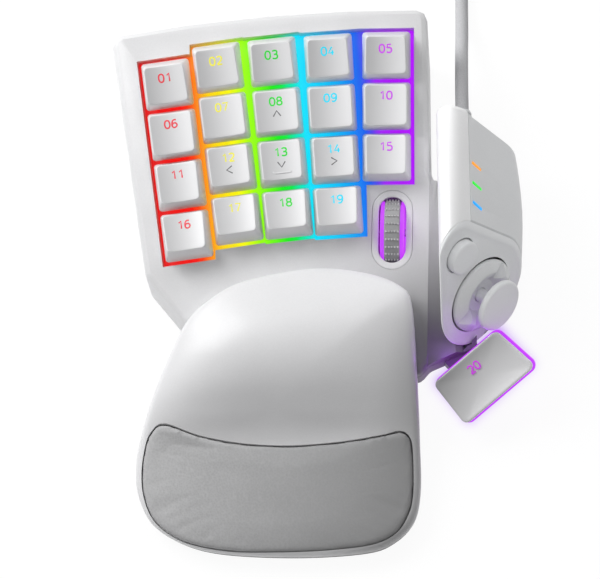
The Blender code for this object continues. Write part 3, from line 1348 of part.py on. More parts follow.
def build_palm_rest(gloss, dark, soft):
    holder = empty("palm_rest_slide", Matrix.Translation((*PALM_CENTRE, 0.0)))
    edge = DECK_EDGE_RADIUS / 2
    rings = palm_surface(palm_outline, 0.0, PALM_CENTRE)
    rings.append([(x, y, palm_height(x, y) - edge) for x, y in palm_outline])
    rings.append([(x, y, PALM_BOTTOM) for x, y in palm_outline])
    shell = make("palm_rest_shell", loft(rings), gloss, parent=holder)

    inside = offset_outline(palm_outline, -PALM_WALL)
    rings = palm_surface(inside, PALM_WALL, PALM_CENTRE)
    rings.append([(x, y, palm_height(x, y) - PALM_WALL - edge) for x, y in inside])
    rings.append([(x, y, PALM_BOTTOM - OVERRUN) for x, y in inside])
    hollow = loft(rings)
    hollow_front = PALM_CENTRE[1] + PALM_LENGTH * palm_hollow_share
    slice_away(hollow, Vector((0.0, hollow_front, 0.0)), Vector((0.0, -1.0, 0.0)))
    cut(shell, make("palm_hollow", hollow), make("deck_space", deck_keepout()))

    middle = cushion_centre()
    pocket_outline = offset_outline(cushion_outline, GAP)
    floor_ring = [(x, y, palm_height(x, y) - CUSHION_DEPTH) for x, y in pocket_outline]
    small_outline = shrunk(pocket_outline, cushion_bottom_shares[0], middle)
    inner_ring = [(x, y, palm_height(x, y) - CUSHION_DEPTH) for x, y in small_outline]
    high_ring = [(x, y, TALL) for x, y in pocket_outline]
    cut(shell, make("cushion_pocket", loft([inner_ring, floor_ring, high_ring])))

    plate_outline = offset_outline(palm_outline, -GAP)
    bm = prism(plate_outline, FLOOR_BOTTOM, FLOOR_TOP)
    slice_away(bm, Vector((0.0, DECK_FRONT - PALM_ROOM, 0.0)), Vector((0.0, 1.0, 0.0)))
    base = make("palm_rest_base", bm, dark, parent=holder)
    front = DECK_FRONT - OVERRUN
    for step in PALM_TONGUE_STEPS:
        x = PALM_RIGHT + step
        low = (x - PALM_TONGUE_WIDTH / 2, front, FLOOR_TOP - FLOOR_THICKNESS / 2)
        high = (x + PALM_TONGUE_WIDTH / 2, DECK_FRONT - PALM_ROOM, FLOOR_TOP + GAP + PALM_TONGUE_THICKNESS)
        join(base, make("tongue_root", block(low, high)))
        low = (x - PALM_TONGUE_WIDTH / 2, front + GAP, FLOOR_TOP + GAP)
        high = (high[0], front + PALM_TONGUE_LENGTH, high[2])
        join(base, make("tongue", block(low, high)))

    make("palm_cushion", cushion_body(), soft, parent=holder, smooth=True)
    return holder


def cushion_centre():
    xs = [x for x, y in cushion_outline]
    ys = [y for x, y in cushion_outline]
    return ((min(xs) + max(xs)) / 2, (min(ys) + max(ys)) / 2)


def cushion_body():
    """Crowned cushion with drawn-in sides, in the pocket of the palm rest."""
    middle = cushion_centre()
    rings = []
    bottom = CUSHION_DEPTH - GAP
    for share in cushion_bottom_shares:
        ring = shrunk(cushion_outline, share, middle)
        rings.append([(x, y, palm_height(x, y) - bottom) for x, y in ring])
    rings.append([(x, y, palm_height(x, y) - bottom / 2) for x, y in cushion_outline])
    for share in cushion_ring_shares[::-1]:
        ring = shrunk(cushion_outline, share, middle)
        rise = CUSHION_CROWN * (1.0 - share ** 6) - (GAP if share == cushion_ring_shares[-1] else 0.0)
        rings.append([(x, y, palm_height(x, y) + rise) for x, y in ring])
    return loft(rings)


# Cable, coil, tie and plug

def tube(name, points, look, resolution):
    """A round tube along a run of points."""
    curve = bpy.data.curves.new(name, "CURVE")
    curve.dimensions = "3D"
    curve.bevel_depth = CABLE_RADIUS
    curve.bevel_resolution = resolution
    curve.use_fill_caps = True
    spline = curve.splines.new("POLY")
    spline.points.add(len(points) - 1)
    for target, point in zip(spline.points, points):
        target.co = (*point, 1.0)
    curve.materials.append(look)
    thing = bpy.data.objects.new(name, curve)
    bpy.context.collection.objects.link(thing)
    return thing


def run_points(route):
    """Evenly spaced points of a smooth curve through the route's points."""
    dense_steps = 8
    knots = [Vector(point) for point in route]
    knots = [knots[0] * 2 - knots[1], *knots, knots[-1] * 2 - knots[-2]]
    dense = []
    for index in range(1, len(knots) - 2):
        for step in range(dense_steps):
            dense.append(spline_point(*knots[index - 1:index + 3], step / dense_steps))
    dense.append(knots[-2])
    length = sum((after - before).length for before, after in zip(dense, dense[1:]))
    steps = round(length / CABLE_STEP)
    return even_points(dense, steps), length


COIL_LAYER_RISE = COIL_PITCH
coil_centre = (cable_route[-1][0] - COIL_RADIUS, COIL_CENTRE_Y)
coil_turns = 2 * COIL_TURNS - COIL_LEAVE_SHARE


def coil_points():
    """Two layers that spiral in and out again, then a tail that runs down to the plug."""
    points = [Vector(cable_route[-1]) + Vector((0.0, GAP, 0.0))]
    steps = round(coil_turns * COIL_POINTS_PER_TURN)
    for index in range(steps + 1):
        turn = index / COIL_POINTS_PER_TURN
        inward = turn if turn < COIL_TURNS else 2 * COIL_TURNS - turn
        radius = COIL_RADIUS - COIL_PITCH * inward
        climb = smooth_step((turn - COIL_TURNS) * 2 + 0.5)
        points.append(coil_point(turn, radius, COIL_HEIGHT + COIL_LAYER_RISE * climb))
    start_radius = COIL_RADIUS - COIL_PITCH * COIL_LEAVE_SHARE
    end_radius = COIL_RADIUS + COIL_TAIL_CLEAR
    top = COIL_HEIGHT + COIL_LAYER_RISE
    end_height = PLUG_HEIGHT / 2 + GAP
    tail_steps = round(COIL_TAIL_SHARE * COIL_POINTS_PER_TURN)
    for index in range(1, tail_steps + 1):
        share = index / tail_steps
        radius = start_radius + (end_radius - start_radius) * smooth_step(share / coil_tail_spread_share)
        height = top + (end_height - top) * smooth_step((share - coil_tail_fall_share) / (1.0 - coil_tail_fall_share))
        points.append(coil_point(coil_turns + COIL_TAIL_SHARE * share, radius, height))
    points.append(points[-1] + Vector((0.0, -2 * CABLE_RADIUS, 0.0)))
    return points


def coil_point(turn, radius, height):
    angle = math.tau * turn
    return Vector((coil_centre[0] + radius * math.cos(angle), coil_centre[1] + radius * math.sin(angle), height))


def least_gap(points):
    """Least clear distance between stretches of a tube that aren't neighbours along it."""
    least = TALL
    skip = COIL_POINTS_PER_TURN // 2
    for index, point in enumerate(points):
        for other in points[index + skip:]:
            least = min(least, (point - other).length - 2 * CABLE_RADIUS)
    return least


def build_cable(braid, dark, steel, grey):
    exit_x, exit_z = CABLE_EXIT
    relief = turned([(RELIEF_BASE_RADIUS, 0.0), (RELIEF_BASE_RADIUS, RELIEF_LENGTH / 4), (RELIEF_END_RADIUS, RELIEF_LENGTH)],
                    ROUND_STEPS // 2)
    relief_place = Matrix.Translation((exit_x, POD_REAR + GAP, exit_z)) @ Matrix.Rotation(math.radians(-90.0), 4, "X")
    make("strain_relief", relief, dark, relief_place, smooth=True)
    points, length = run_points(cable_route)
    tube("cable", points, braid, CABLE_SIDES_RESOLUTION)
    turns = coil_points()
    tube("cable_coil", turns, braid, 1)
    coil_length = sum((after - before).length for before, after in zip(turns, turns[1:]))
    print("cable run %.4f m, coil %.4f m, least gap of the coil to itself %.2f mm"
          % (length, coil_length, least_gap(turns) * 1000))

    radii = (COIL_RADIUS - COIL_PITCH * TIE_INNER_TURN, COIL_RADIUS - COIL_PITCH * TIE_OUTER_TURN)
    inner_low = coil_centre[1] - radii[1] - CABLE_RADIUS
    inner_high = coil_centre[1] - radii[0] + CABLE_RADIUS + GAP
    lower = COIL_HEIGHT - CABLE_RADIUS - GAP
    upper = COIL_HEIGHT + COIL_LAYER_RISE + CABLE_RADIUS + GAP
    half = TIE_WIDTH / 2
    x = coil_centre[0]
    outer = block((x - half, inner_low - TIE_THICKNESS, lower - TIE_THICKNESS),
                  (x + half, inner_high + TIE_THICKNESS, upper + TIE_THICKNESS))
    tie = make("cable_tie", outer, dark)
    cut(tie, make("bundle_space", block((x - OVERRUN, inner_low, lower), (x + OVERRUN, inner_high, upper))))

    end = turns[-1]
    body_front = end.y - GAP
    body_outline = rounded_rectangle(PLUG_WIDTH, PLUG_HEIGHT, PLUG_EDGE, CORNER_STEPS)
    small = rounded_rectangle(PLUG_HEIGHT, PLUG_HEIGHT - PLUG_EDGE, PLUG_EDGE, CORNER_STEPS)
    rings = [[(x, y, 0.0) for x, y in small], [(x, y, PLUG_LENGTH / 4) for x, y in body_outline],
             [(x, y, PLUG_LENGTH) for x, y in body_outline]]
    plug_place = Matrix.Translation((end.x, body_front, end.z)) @ Matrix.Rotation(math.radians(90.0), 4, "X")
    body = make("usb_plug_body", loft(rings), dark, plug_place)
    shell_hole = block((-PLUG_SHELL_WIDTH / 2 - GAP, -PLUG_SHELL_HEIGHT / 2 - GAP, PLUG_LENGTH - PLUG_SHELL_SINK - GAP),
                       (PLUG_SHELL_WIDTH / 2 + GAP, PLUG_SHELL_HEIGHT / 2 + GAP, PLUG_LENGTH + OVERRUN))
    cut(body, make("shell_hole", shell_hole, None, plug_place))
    bottom = PLUG_LENGTH - PLUG_SHELL_SINK
    shell = make("usb_plug_shell", block((-PLUG_SHELL_WIDTH / 2, -PLUG_SHELL_HEIGHT / 2, bottom),
                                         (PLUG_SHELL_WIDTH / 2, PLUG_SHELL_HEIGHT / 2, bottom + PLUG_SHELL_LENGTH)),
                 steel, plug_place)
    inside = block((-PLUG_SHELL_WIDTH / 2 + PLUG_SHELL_WALL, -PLUG_SHELL_HEIGHT / 2 + PLUG_SHELL_WALL, bottom + PLUG_SHELL_SINK),
                   (PLUG_SHELL_WIDTH / 2 - PLUG_SHELL_WALL, 0.0, bottom + PLUG_SHELL_LENGTH + OVERRUN))
    cut(shell, make("contact_space", inside, None, plug_place))


def main():
    clear_scene()
    white = material("matt_white_plastic", WHITE, 0.45)
    gloss = material("gloss_white_plastic", GLOSS_WHITE, 0.2)
    grey = material("light_grey_plastic", LIGHT_GREY, 0.5)
    cap = material("key_cap_plastic", WHITE, 0.4)
    clear_white = material("diffuser_plastic", (0.55, 0.75, 0.95), 0.3)
    rubber = material("dome_rubber", RUBBER_GREY, 0.7)
    green = material("circuit_board_green", (0.05, 0.25, 0.12), 0.5)
    dark = material("dark_plastic", DARK_GREY, 0.6)
    steel = material("bright_steel", STEEL, 0.25, 1.0)
    violet = material("violet_light_plastic", (0.60, 0.15, 0.90), 0.3)
    soft = material("cushion_leatherette", CUSHION_GREY, 0.7)
    braid = material("cable_braid", LIGHT_GREY, 0.8)
    leds = [material("led_orange", (0.95, 0.55, 0.10), 0.3), material("led_green", (0.15, 0.85, 0.20), 0.3),
            material("led_blue", (0.10, 0.60, 0.95), 0.3)]
    build_keys(cap)
    build_key_stack(white, clear_white, rubber, green)
    build_top_cover(white)
    build_bottom_cover(white)
    build_fasteners(steel)
    build_wheel(rubber, violet, steel, dark, white)
    build_module_shell(gloss, grey, leds)
    build_module_face(grey, grey, grey, dark)
    build_thumb_key(cap, violet)
    holder = build_palm_rest(gloss, dark, soft)
    build_feet(rubber, holder)
    build_cable(braid, dark, steel, grey)


main()
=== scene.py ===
"""Finishes a left-hand gaming keypad: caps and their glow, click wheel, thumb module, palm rest and cable."""

import math

import bmesh
import bpy
from bpy.props import FloatProperty, FloatVectorProperty, IntProperty, PointerProperty
from mathutils import Matrix, Vector


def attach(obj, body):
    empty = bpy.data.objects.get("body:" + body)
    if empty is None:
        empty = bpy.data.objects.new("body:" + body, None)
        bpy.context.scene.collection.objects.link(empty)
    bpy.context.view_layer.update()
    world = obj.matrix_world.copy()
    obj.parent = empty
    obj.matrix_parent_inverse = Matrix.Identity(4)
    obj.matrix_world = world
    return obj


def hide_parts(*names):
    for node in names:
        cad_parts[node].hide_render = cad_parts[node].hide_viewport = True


bl_info = {
    "name": "Gaming keypad",
    "version": (1, 0, 0),
    "blender": (4, 5, 0),
    "location": "View3D > Sidebar > Keypad",
    "description": "Models the visible pieces of a left-hand gaming keypad and their finishes",
    "category": "Add Mesh",
}

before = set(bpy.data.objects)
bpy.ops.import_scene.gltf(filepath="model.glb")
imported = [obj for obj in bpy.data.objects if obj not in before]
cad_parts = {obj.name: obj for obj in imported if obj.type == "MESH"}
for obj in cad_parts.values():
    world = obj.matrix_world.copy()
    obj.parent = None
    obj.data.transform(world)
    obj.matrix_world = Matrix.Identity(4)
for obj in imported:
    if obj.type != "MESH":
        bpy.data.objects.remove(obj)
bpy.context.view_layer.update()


def shift(x, y, z):
    return Matrix.Translation((x, y, z))


def rotation(degrees, axis):
    return Matrix.Rotation(math.radians(degrees), 4, axis)


# Frames: the sloping deck, the thumb module's face, the thumb key and the wheel
GAP = 0.0003
DECK_SLOPE = 14.0
DECK_HEIGHT = 0.0210
deck = shift(0.0, 0.0, DECK_HEIGHT) @ rotation(DECK_SLOPE, "X")
PAD_CENTRE = Vector((0.0583, -0.0062, 0.0216))
UPRIGHT = Matrix(((0, 0, 1, 0), (1, 0, 0, 0), (0, 1, 0, 0), (0, 0, 0, 1)))
face = shift(*PAD_CENTRE) @ rotation(-40.5, "Z") @ rotation(-18.9, "Y") @ UPRIGHT
face_normal = (face.to_3x3() @ Vector((0.0, 0.0, 1.0))).normalized()
button_place = face @ shift(-0.0005, 0.0266, 0.0)
THUMB_KEY_PLACE = (0.0582, -0.0368, 0.0190)
thumb_key = shift(*THUMB_KEY_PLACE) @ rotation(-108.5, "Z") @ rotation(25.8, "Y") @ rotation(146.0, "Z")
wheel_place = deck @ shift(0.02615, 0.0196, 0.0) @ rotation(-2.3, "Z")
wheel_turn = wheel_place @ shift(0.0, 0.0, -0.0078) @ rotation(90.0, "Y")

# Camera
CAMERA_TARGET = Vector((-0.00735, -0.0076, 0.0350))
CAMERA_BACK = Vector((0.0647, -0.3738, 0.9252))
CAMERA_RIGHT = Vector((0.9976, 0.0, -0.0698))
CAMERA_LENS = 165.06

# Keys: place of each column's front key in pitches, lean in degrees and row of the front key
KEY_PITCH = 0.0193
columns = ((-2.596, 1.006, 6.6, 3), (-1.620, 1.305, 6.3, 3), (-0.650, 1.380, 4.4, 3), (0.322, 1.413, 2.3, 3),
           (1.279, 2.427, -1.0, 2))
ROW_HALF_TOP = (0.0074, 0.0077, 0.00725, 0.0073)
ROW_REAR_DRAW = (0.0037, 0.0024, 0.0021, 0.0016)
ROW_FRONT_DRAW = (0.0006, 0.0003, 0.0013, 0.0023)
ROW_TILT = (8.0, -3.0, -5.5, -12.0)
ROW_LEGEND_DROP = (0.00445, 0.0040, 0.00418, 0.0043)
KEY_HALF_BASE = 0.0090
KEY_HEIGHT = 0.0088


# Sockets and materials

class Value:
    """An output socket that takes part in Python expressions."""

    def __init__(self, look, socket):
        self.look = look
        self.socket = socket

    def _math(self, operation, first, second=0.0):
        return self.look.node("ShaderNodeMath", {"operation": operation}, {0: first, 1: second})

    def __add__(self, other):
        return self._math("ADD", self, other)

    def __sub__(self, other):
        return self._math("SUBTRACT", self, other)

    def __rsub__(self, other):
        return self._math("SUBTRACT", other, self)

    def __mul__(self, other):
        return self._math("MULTIPLY", self, other)

    def __truediv__(self, other):
        return self._math("DIVIDE", self, other)

    def __pow__(self, other):
        return self._math("POWER", self, other)

    __radd__ = __add__
    __rmul__ = __mul__

    def sine(self):
        return self._math("SINE", self)

    def at_least(self, low):
        return self._math("MAXIMUM", self, low)

    def between(self, low, high):
        """Zero at low and one at high, with soft ends."""
        return self.look.node("ShaderNodeMapRange", {"interpolation_type": "SMOOTHSTEP"},
                              {0: self, 1: low, 2: high})


class Look:
    """One finish, built from nodes."""

    def __init__(self, name, **values):
        self.material = bpy.data.materials.new(name)
        self.material.use_nodes = True
        self.tree = self.material.node_tree
        self.shader = self.tree.nodes["Principled BSDF"]
        for key, value in values.items():
            self.set(key.replace("_", " ").title(), value)

    def node(self, kind, settings=None, sockets=None, output=0):
        made = self.tree.nodes.new(kind)
        for key, value in (settings or {}).items():
            if key == "stops":
                ramp = made.color_ramp
                while len(ramp.elements) < len(value):
                    ramp.elements.new(0.5)
                for element, (position, colour) in zip(ramp.elements, value):
                    element.position = position
                    element.color = (*colour, 1.0)
            else:
                setattr(made, key, value)
        for key, value in (sockets or {}).items():
            self._feed(made.inputs[key], value)
        return Value(self, made.outputs[output])

    def _feed(self, socket, value):
        if isinstance(value, Value):
            self.tree.links.new(value.socket, socket)
        elif socket.type == "RGBA" and len(value) == 3:
            socket.default_value = (*value, 1.0)
        else:
            socket.default_value = value

    def set(self, name, value):
        self._feed(self.shader.inputs[name], value)

    def place(self):
        return self.node("ShaderNodeTexCoord", output="Object")

    def parts_of(self, vector):
        split = self.node("ShaderNodeSeparateXYZ", None, {0: vector})
        return [Value(self, socket) for socket in split.socket.node.outputs]

    def grain(self, roughness, spread, coat):
        """The fine grain of a moulded cap."""
        fine = self.noise(self.place(), GRAIN_SCALE, 3.0, 0.6)
        self.set("Roughness", fine * spread + roughness)
        self.set("Coat Weight", coat)
        self.bump(fine, 0.15, 0.00003)

    def noise(self, vector, scale, detail=2.0, roughness=0.5):
        return self.node("ShaderNodeTexNoise", None,
                         {"Vector": vector, "Scale": scale, "Detail": detail, "Roughness": roughness})

    def stretched(self, vector, scale):
        return self.node("ShaderNodeMapping", None, {"Vector": vector, "Scale": scale})

    def blend(self, share, first, second):
        return self.node("ShaderNodeMix", {"data_type": "RGBA"}, {0: share, 6: first, 7: second}, output=2)

    def bump(self, height, strength, distance):
        self.set("Normal", self.node("ShaderNodeBump", None,
                                     {"Strength": strength, "Distance": distance, "Height": height}))


def linear(colour):
    """A colour as it is picked on screen, in the renderer's own scale."""
    return tuple(part / 12.92 if part <= 0.04045 else ((part + 0.055) / 1.055) ** 2.4 for part in colour)


def shaded(colour, factor):
    return tuple(min(part * factor, 1.0) for part in colour)


GRAIN_SCALE = 1500.0
MOTTLE = 0.02


def moulded(name, colour, roughness, depth=0.25, coat=0.0, shade=None):
    """Moulded plastic: a fine spark-eroded grain, a very faint cloudiness and, where asked, a soft painted shade."""
    look = Look(name)
    place = look.place()
    fine = look.noise(place, GRAIN_SCALE, 3.0, 0.6)
    cloud = look.noise(place, 70.0, 2.0)
    mottle = fine * 0.6 + cloud * 0.4
    tone = look.blend(mottle.between(0.3, 0.7), shaded(colour, 1.0 - MOTTLE), shaded(colour, 1.0 + MOTTLE))
    if shade:
        # Painted shade: a darker copy of the colour is blended in over the plan, where shade would fall.
        tone = look.blend(shadow(look, place, *shade[:4]), tone, shaded(colour, shade[4]))
    look.set("Base Color", tone)
    look.set("Roughness", fine * 0.12 + (roughness - 0.06))
    look.set("Coat Weight", coat)
    look.set("Coat Roughness", 0.15)
    look.bump(fine, depth, 0.00003)
    return look.material


def shadow(look, place, across, along, start, end):
    """The share of a painted shadow, which grows over the plan, along the direction of across and along, from start to
    end.
    """
    x, y, _ = look.parts_of(place)
    return (x * across + y * along).between(start, end)


def glowing(name, colour, strength, base=None):
    """Lit translucent plastic, a little uneven as over its lamps."""
    look = Look(name)
    cloud = look.noise(look.place(), 260.0, 2.0)
    look.set("Base Color", base or shaded(colour, 0.6))
    look.set("Roughness", cloud * 0.1 + 0.3)
    look.set("Emission Color", look.blend(cloud.between(0.2, 0.8), shaded(colour, 0.88), colour))
    look.set("Emission Strength", strength)
    return look.material


# Objects and selection

def alone(piece):
    """Select one object, make it the active one and leave the rest."""
    bpy.ops.object.select_all(action="DESELECT")
    bpy.context.view_layer.objects.active = piece
    piece.select_set(True)
    return piece


def added(name, data):
    """A new object in the scene."""
    thing = bpy.data.objects.new(name, data)
    bpy.context.scene.collection.objects.link(thing)
    return thing


def removed(thing):
    bpy.data.objects.remove(thing, do_unlink=True)


def edited(piece):
    """The mesh that is being edited, with its corners ready to be counted."""
    bm = bmesh.from_edit_mesh(piece.data)
    bm.verts.ensure_lookup_table()
    return bm


# Modelling in edit mode

def fresh(kind, **sizes):
    """Add a primitive in edit mode, with nothing else selected."""
    bpy.ops.object.select_all(action="DESELECT")
    getattr(bpy.ops.mesh, "primitive_%s_add" % kind)(enter_editmode=True, location=(0.0, 0.0, 0.0), **sizes)
    bpy.ops.mesh.select_mode(type="VERT")
    return bpy.context.active_object


def pick(piece, indices):
    """Select only these corners, with the edges between them."""
    bpy.ops.mesh.select_all(action="DESELECT")
    bm = edited(piece)
    for index in indices:
        bm.verts[index].select_set(True)
    bm.select_flush(True)
    bmesh.update_edit_mesh(piece.data)


def grow(piece, loop, places):
    """Extrude the selected loop of edges and move each new corner to its place."""
    bpy.ops.mesh.extrude_region_move()
    bm = edited(piece)
    grown = []
    for index, place in zip(loop, places):
        corner = bm.verts[index]
        new = next(edge.other_vert(corner) for edge in corner.link_edges if edge.other_vert(corner).select)
        new.co = place
        grown.append(new)
    bm.verts.index_update()
    bmesh.update_edit_mesh(piece.data)
    return [corner.index for corner in grown]


def close_loop(piece, loop):
    pick(piece, loop)
    bpy.ops.mesh.edge_face_add()


def finished(piece, name, smooth=32.0):
    """Leave edit mode with clean outward faces and soft shading below an angle."""
    bpy.ops.mesh.select_all(action="SELECT")
    bpy.ops.mesh.remove_doubles(threshold=1e-7)
    bpy.ops.mesh.normals_make_consistent(inside=False)
    bpy.ops.object.mode_set(mode="OBJECT")
    piece.name = name
    piece.data.name = name
    soften_shading(piece, smooth)
    return piece


def soften_shading(piece, smooth=32.0):
    alone(piece)
    bpy.ops.object.shade_smooth_by_angle(angle=math.radians(smooth))


def lofted(name, rings, ring_shaped=False, smooth=32.0):
    """Draw the first ring, extrude it from ring to ring and close it: with two caps, or back to its start."""
    piece = fresh("circle", vertices=len(rings[0]), radius=1.0, fill_type="NOTHING")
    bm = edited(piece)
    for corner, place in zip(bm.verts, rings[0]):
        corner.co = place
    bmesh.update_edit_mesh(piece.data)
    start = loop = list(range(len(rings[0])))
    for ring in (rings[1:] + rings[:1] if ring_shaped else rings[1:]):
        loop = grow(piece, loop, ring)
    if not ring_shaped:
        close_loop(piece, loop)
        close_loop(piece, start)
    return finished(piece, name, smooth)


def ring_on(matrix, outline, height):
    """An outline at one height of a frame."""
    return [matrix @ Vector((x, y, height)) for x, y in outline]


def circle(radius, steps):
    return [(radius * math.cos(math.tau * step / steps), radius * math.sin(math.tau * step / steps))
            for step in range(steps)]


def turned(name, profile, matrix, steps=72, ring_shaped=False):
    """A round piece from pairs of radius and height."""
    return lofted(name, [ring_on(matrix, circle(radius, steps), height) for radius, height in profile], ring_shaped)


def boxed(name, low, high, matrix=Matrix()):
    """A plain block, only ever used to cut with or as the start of a piece."""
    corners = ((low[0], low[1]), (high[0], low[1]), (high[0], high[1]), (low[0], high[1]))
    return lofted(name, [ring_on(matrix, corners, z) for z in (low[2], high[2])])


def applied(piece, kind, **settings):
    """Add a modifier, set it and apply it."""
    alone(piece)
    modifier = piece.modifiers.new(kind.lower(), kind)
    for key, value in settings.items():
        setattr(modifier, key, value)
    bpy.ops.object.modifier_apply(modifier=modifier.name)
    return piece


def carved(piece, *cutters, operation="DIFFERENCE"):
    for cutter in cutters:
        applied(piece, "BOOLEAN", operation=operation, solver="EXACT", object=cutter)
        removed(cutter)
    return piece


def eased(piece, width, segments=2):
    """Ease the sharp edges."""
    applied(piece, "BEVEL", width=width, segments=segments, limit_method="ANGLE",
            angle_limit=math.radians(40.0))
    soften_shading(piece)
    return piece


def dressed(piece, material, body, slot, *replaced):
    """Give a piece its finish, the body that it rides on and the solids that it stands for."""
    piece.data.materials.clear()
    piece.data.materials.append(material)
    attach(piece, body)
    if replaced:
        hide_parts(*replaced)
    return piece


def copied(node, name, smooth=32.0):
    """A merged copy of a solid, with soft shading."""
    piece = alone(added(name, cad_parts[node].data.copy()))
    piece.data.name = name
    bpy.ops.object.mode_set(mode="EDIT")
    bpy.ops.mesh.select_all(action="SELECT")
    bpy.ops.mesh.remove_doubles(threshold=5e-6)
    bpy.ops.mesh.dissolve_limited(angle_limit=math.radians(0.5))
    bpy.ops.object.mode_set(mode="OBJECT")
    soften_shading(piece, smooth)
    return piece


def painted(material, *nodes):
    """Finish solids whose shape is right as they are."""
    for node in nodes:
        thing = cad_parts[node]
        thing.data.materials.clear()
        thing.data.materials.append(material)


# Outlines

def smooth_step(value):
    limited = min(max(value, 0.0), 1.0)
    return limited * limited * (3.0 - 2.0 * limited)


def mixed(first, second, share):
    return first + (second - first) * share


def rounded(corners, radius, steps):
    """An outline with arcs of one radius at its corners."""
    points = []
    for index, corner in enumerate(corners):
        here = Vector(corner)
        before = (Vector(corners[index - 1]) - here).normalized()
        after = (Vector(corners[(index + 1) % len(corners)]) - here).normalized()
        half_angle = before.angle(after) / 2
        reach = radius / math.tan(half_angle)
        start, end = here + before * reach, here + after * reach
        middle = here + (before + after).normalized() * (radius / math.sin(half_angle))
        for step in range(steps + 1):
            direction = (start - middle).lerp(end - middle, step / steps).normalized()
            points.append(tuple(middle + direction * radius))
    return points


def spline_point(p0, p1, p2, p3, t):
    return 0.5 * (2 * p1 + (p2 - p0) * t + (2 * p0 - 5 * p1 + 4 * p2 - p3) * t ** 2
                  + (3 * p1 - p0 - 3 * p2 + p3) * t ** 3)


def even_points(points, steps):
    """Points at an even distance along a run of points."""
    lengths = [0.0]
    for before, after in zip(points, points[1:]):
        lengths.append(lengths[-1] + (after - before).length)
    result = []
    index = 0
    for step in range(steps + 1):
        wanted = lengths[-1] * step / steps
        while index < len(points) - 2 and lengths[index + 1] < wanted:
            index += 1
        span = lengths[index + 1] - lengths[index]
        share = (wanted - lengths[index]) / span if span > 0 else 0.0
        result.append(points[index].lerp(points[index + 1], min(max(share, 0.0), 1.0)))
    return result


def smooth_outline(points, steps):
    """A closed smooth curve through a few points, read at an even spacing."""
    count = len(points)
    dense = []
    for index in range(count):
        knots = [Vector(points[(index + offset) % count]) for offset in (-1, 0, 1, 2)]
        dense += [spline_point(*knots, step / 16) for step in range(16)]
    dense.append(dense[0])
    return [tuple(point) for point in even_points(dense, steps)[:-1]]


def read_profile(table, place_share):
    """Read a table of pairs, sorted from high to low, as one smooth curve."""
    if place_share >= table[0][0]:
        return table[0][1]
    for index in range(len(table) - 1):
        high, high_value = table[index]
        low, low_value = table[index + 1]
        if place_share >= low:
            before = table[max(index - 1, 0)]
            after = table[min(index + 2, len(table) - 1)]
            slope_high = (low_value - before[1]) / (low - before[0])
            slope_low = (after[1] - high_value) / (after[0] - high)
            span = low - high
            t = (place_share - high) / span
            return (high_value * (2 * t ** 3 - 3 * t ** 2 + 1) + low_value * (3 * t ** 2 - 2 * t ** 3)
                    + span * (slope_high * (t ** 3 - 2 * t ** 2 + t) + slope_low * (t ** 3 - t ** 2)))
    return table[-1][1]


def offset_outline(outline, distance):
    """Move every edge of a counter-clockwise outline outwards by one distance."""
    moved = []
    for index, point in enumerate(outline):
        here = Vector(point)
        arriving = (here - Vector(outline[index - 1])).normalized()
        leaving = (Vector(outline[(index + 1) % len(outline)]) - here).normalized()
        normal_in = Vector((arriving.y, -arriving.x))
        mean = (normal_in + Vector((leaving.y, -leaving.x))).normalized()
        moved.append(tuple(here + mean * (distance / mean.dot(normal_in))))
    return moved


def shrunk(outline, factor, centre):
    """Draw an outline towards a centre."""
    return [(centre[0] + (x - centre[0]) * factor, centre[1] + (y - centre[1]) * factor) for x, y in outline]


# Caps and legends

def key_centre(column, steps_up):
    """Place of a key on the deck, counted from its column's front key."""
    across, along, lean = columns[column][:3]
    angle = math.radians(lean)
    return KEY_PITCH * (across - steps_up * math.sin(angle)), KEY_PITCH * (along + steps_up * math.cos(angle))


def key_places():
    """Number, row, column and matrix of the nineteen finger keys."""
    for row in range(4):
        for column, (*_, lean, front_row) in enumerate(columns):
            if row <= front_row:
                place = deck @ shift(*key_centre(column, front_row - row), -0.0005) @ rotation(lean, "Z")
                yield row * len(columns) + column + 1, row, column, place


def cap_top(row):
    """Ends of a row's top, its height at a place, and how much wider it is there than in its middle."""
    front = -KEY_HALF_BASE + ROW_FRONT_DRAW[row]
    rear = KEY_HALF_BASE - ROW_REAR_DRAW[row]
    slope = math.tan(math.radians(ROW_TILT[row]))
    half = ROW_HALF_TOP[row]

    def rim(y):
        return KEY_HEIGHT + slope * (y - (front + rear) / 2)

    def height(x, y):
        return rim(y) - 0.0008 * (1.0 - min(abs(x) / half, 1.0) ** 2)

    def widened(y):
        return (KEY_HALF_BASE - (KEY_HALF_BASE - half) * rim(y) / KEY_HEIGHT) / half
    return front, rear, height, widened


def rounded_place(u, v, half_width, front, rear, corner):
    """Map a point of the square from -1 to 1 onto a rectangle with round corners."""
    size = max(abs(u), abs(v))
    middle = (front + rear) / 2
    half_length = (rear - front) / 2
    x, y = u * half_width, v * half_length
    radius = corner * size
    over_x, over_y = abs(x) - (half_width * size - radius), abs(y) - (half_length * size - radius)
    if size > 0.0 and over_x > 0.0 and over_y > 0.0:
        reach = math.hypot(over_x, over_y)
        x = math.copysign(half_width * size - radius + over_x / reach * radius, x)
        y = math.copysign(half_length * size - radius + over_y / reach * radius, y)
    return x, middle + y


